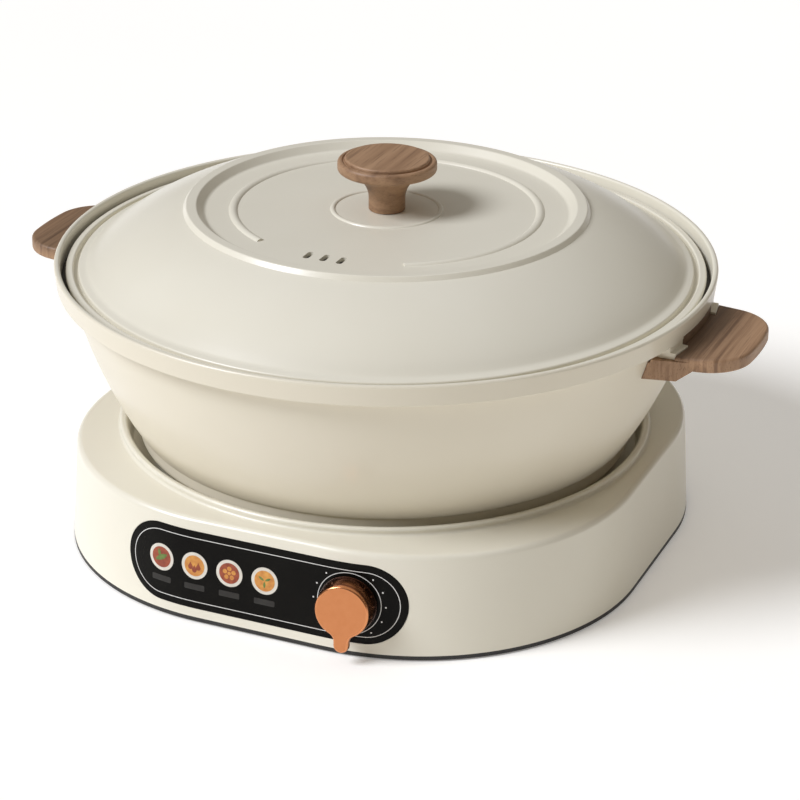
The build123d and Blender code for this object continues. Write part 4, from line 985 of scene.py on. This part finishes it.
handleShape = {
    "inner": 136.5, "toe": 171.0, "wide": 42.5, "narrow": 34.5, "low": 122.5, "top": 127.05,
    "pot": 156.8, "potDepth": 400, "potTurns": 256,
}


def buildHandle(name, node, side, paint):
    s = handleShape
    handle = cadCopy(name, node)
    inner, toe = side * s["inner"], side * s["toe"]
    plan = [(inner, s["wide"]), (toe, s["narrow"]), (toe, -s["narrow"]), (inner, -s["wide"])]
    fill = outlinePiece("handleFill", plan, 1, True)
    raiseFace(s["low"], s["top"])
    freshStart()
    bpy.ops.mesh.primitive_cylinder_add(vertices=s["potTurns"], radius=s["pot"] * mm, depth=s["potDepth"] * mm)
    combine(fill, bpy.context.object)
    combine(handle, fill, "UNION")
    finishPiece(handle, "pot", paint, [node])


buildHandle("handleRight", "handle_right", 1, handleWood)
buildHandle("handleLeft", "handle_left", -1, shadedWood)


# the rest keeps the form of its solid, with joined faces and soft shading

copies = [
    ("potDivider", "pot_divider", "pot", paintedShadePotCoat, "cream_coating"),
    ("handleScrews", "handle_screws", "pot", steel, "steel"),
    ("bottomCover", "bottom_cover", "base", darkPlastic, "dark_plastic"),
    ("rubberFeet", "rubber_feet", "base", footRubber, "foot_rubber"),
    ("heatingPlate", "heating_plate", "base", aluminium, "bare_aluminium"),
    ("probeCap", "probe_cap", "probe", aluminium, "bare_aluminium"),
    ("powerInlet", "power_inlet", "base", darkPlastic, "dark_plastic"),
    ("inletPins", "inlet_pins", "base", brass, "brass"),
    ("knobScrew", "knob_screw", "cover", steel, "steel"),
    ("knobWasher", "knob_washer", "cover", sealRubber, "seal_rubber"),
    ("coverScrews", "cover_screws", "base", steel, "steel"),
]
for pieceName, node, body, paint, slotName in copies:
    finishPiece(cadCopy(pieceName, node), body, paint, [node])


# the probe's spring, a copy of its solid with a mesh of its own; the real spring shortens as the probe is pressed


def buildSpring():
    spring = finishPiece(cadCopy("probeSpring", "probe_spring"), "base", steel, ["probe_spring"])
    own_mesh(spring)


buildSpring()


# pieces that are never seen keep their solids

innerPaints = {
    "heating_element": steel, "heat_shield": steel, "plate_screws": steel, "thermal_cutout": whitePlastic,
    "probe_sleeve": whitePlastic, "control_switch": darkPlastic, "control_shaft": steel,
    "switch_nut": brass, "control_board": boardGreen, "panel_lamps": lampMilk, "board_screws": steel,
}
for node, paint in innerPaints.items():
    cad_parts[node].data.materials.clear()
    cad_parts[node].data.materials.append(paint)
print("inner pieces painted")


# studio: pale floor, soft light from the left, camera at the photograph's angle

studio = {
    "azimuth": 22.97, "elevation": 24.47, "distance": 1356.83, "focal": 2651.61, "image": 800,
    "sideways": 7.54, "height": 61.73, "roll": 0.63,
    "sensor": 36, "clip": (0.05, 50),
    "key": 2.75, "keySoft": 24, "keyFrom": (-1.0, 0.35, 0.95),
    "top": 0.36, "topSoft": 80, "topFrom": (0, -0.2, 1), "world": 0.21,
    "floorSize": 30, "floorDark": (0.91, 0.89, 0.845), "floorLight": (0.93, 0.91, 0.865),
    "floorCloud": 2, "floorRough": 0.9, "floorGlow": 0.22, "glowColour": (1, 0.985, 0.96, 1),
    "keyColour": (0.965, 1.0, 1.085), "topColour": (0.93, 1.0, 1.16), "worldColour": (1.0, 0.895, 0.74, 1),
}


def viewAxes():
    a, e = math.radians(studio["azimuth"]), math.radians(studio["elevation"])
    back = Vector((math.sin(a) * math.cos(e), -math.cos(a) * math.cos(e), math.sin(e)))
    right = Vector((math.cos(a), math.sin(a), 0))
    up = back.cross(right)
    return right, up, back


def buildCamera():
    right, up, back = viewAxes()
    roll = math.radians(studio["roll"])
    place = right * studio["sideways"] + Vector((0, 0, studio["height"])) + back * studio["distance"]
    across = right * math.cos(roll) + up * math.sin(roll)
    upward = up * math.cos(roll) - right * math.sin(roll)
    freshStart()
    bpy.ops.object.camera_add()
    camera = bpy.context.object
    pose = Matrix((across, upward, back)).transposed().to_4x4()
    pose.translation = place * mm
    camera.matrix_world = pose
    camera.data.sensor_width = studio["sensor"]
    camera.data.lens = studio["focal"] / studio["image"] * studio["sensor"]
    camera.data.clip_start, camera.data.clip_end = studio["clip"]
    bpy.context.scene.camera = camera


def buildFloor():
    freshStart()
    bpy.ops.mesh.primitive_plane_add(size=studio["floorSize"])
    floor = bpy.context.object
    floor.name = "studioFloor"
    paint, tree, shader, place = newPaint("floorPaint")
    cloud = noise(tree, place.outputs["Object"], studio["floorCloud"], 2)
    base = ramp(tree, cloud, [(cloudLow, studio["floorDark"]), (cloudHigh, studio["floorLight"])])
    tree.links.new(base, shader.inputs["Base Color"])
    shader.inputs["Roughness"].default_value = studio["floorRough"]
    shader.inputs["Emission Color"].default_value = studio["glowColour"]
    shader.inputs["Emission Strength"].default_value = studio["floorGlow"]
    floor.data.materials.append(paint)


def addSun(name, kind):  # its heading is in shares of rightwards, towards the camera and up
    right, back = viewAxes()[::2]
    flat = Vector((back.x, back.y, 0)).normalized()
    rightShare, flatShare, upShare = studio[kind + "From"]
    heading = right * rightShare + flat * flatShare + Vector((0, 0, 1)) * upShare
    freshStart()
    bpy.ops.object.light_add(type="SUN", location=heading)
    light = bpy.context.object
    light.name = name
    light.data.energy = studio[kind]
    light.data.color = studio[kind + "Colour"]
    light.data.angle = math.radians(studio[kind + "Soft"])
    light.rotation_mode = "QUATERNION"
    light.rotation_quaternion = heading.to_track_quat("Z", "Y")


def buildLights():
    addSun("keyLight", "key")
    addSun("topLight", "top")
    world = bpy.data.worlds.new("studioWorld")
    world.use_nodes = True
    sky = world.node_tree.nodes["Background"]
    sky.inputs["Color"].default_value = studio["worldColour"]
    sky.inputs["Strength"].default_value = studio["world"]
    bpy.context.scene.world = world
    bpy.context.scene.view_settings.view_transform = "Standard"


buildCamera()
buildFloor()
buildLights()
print("studio ready")
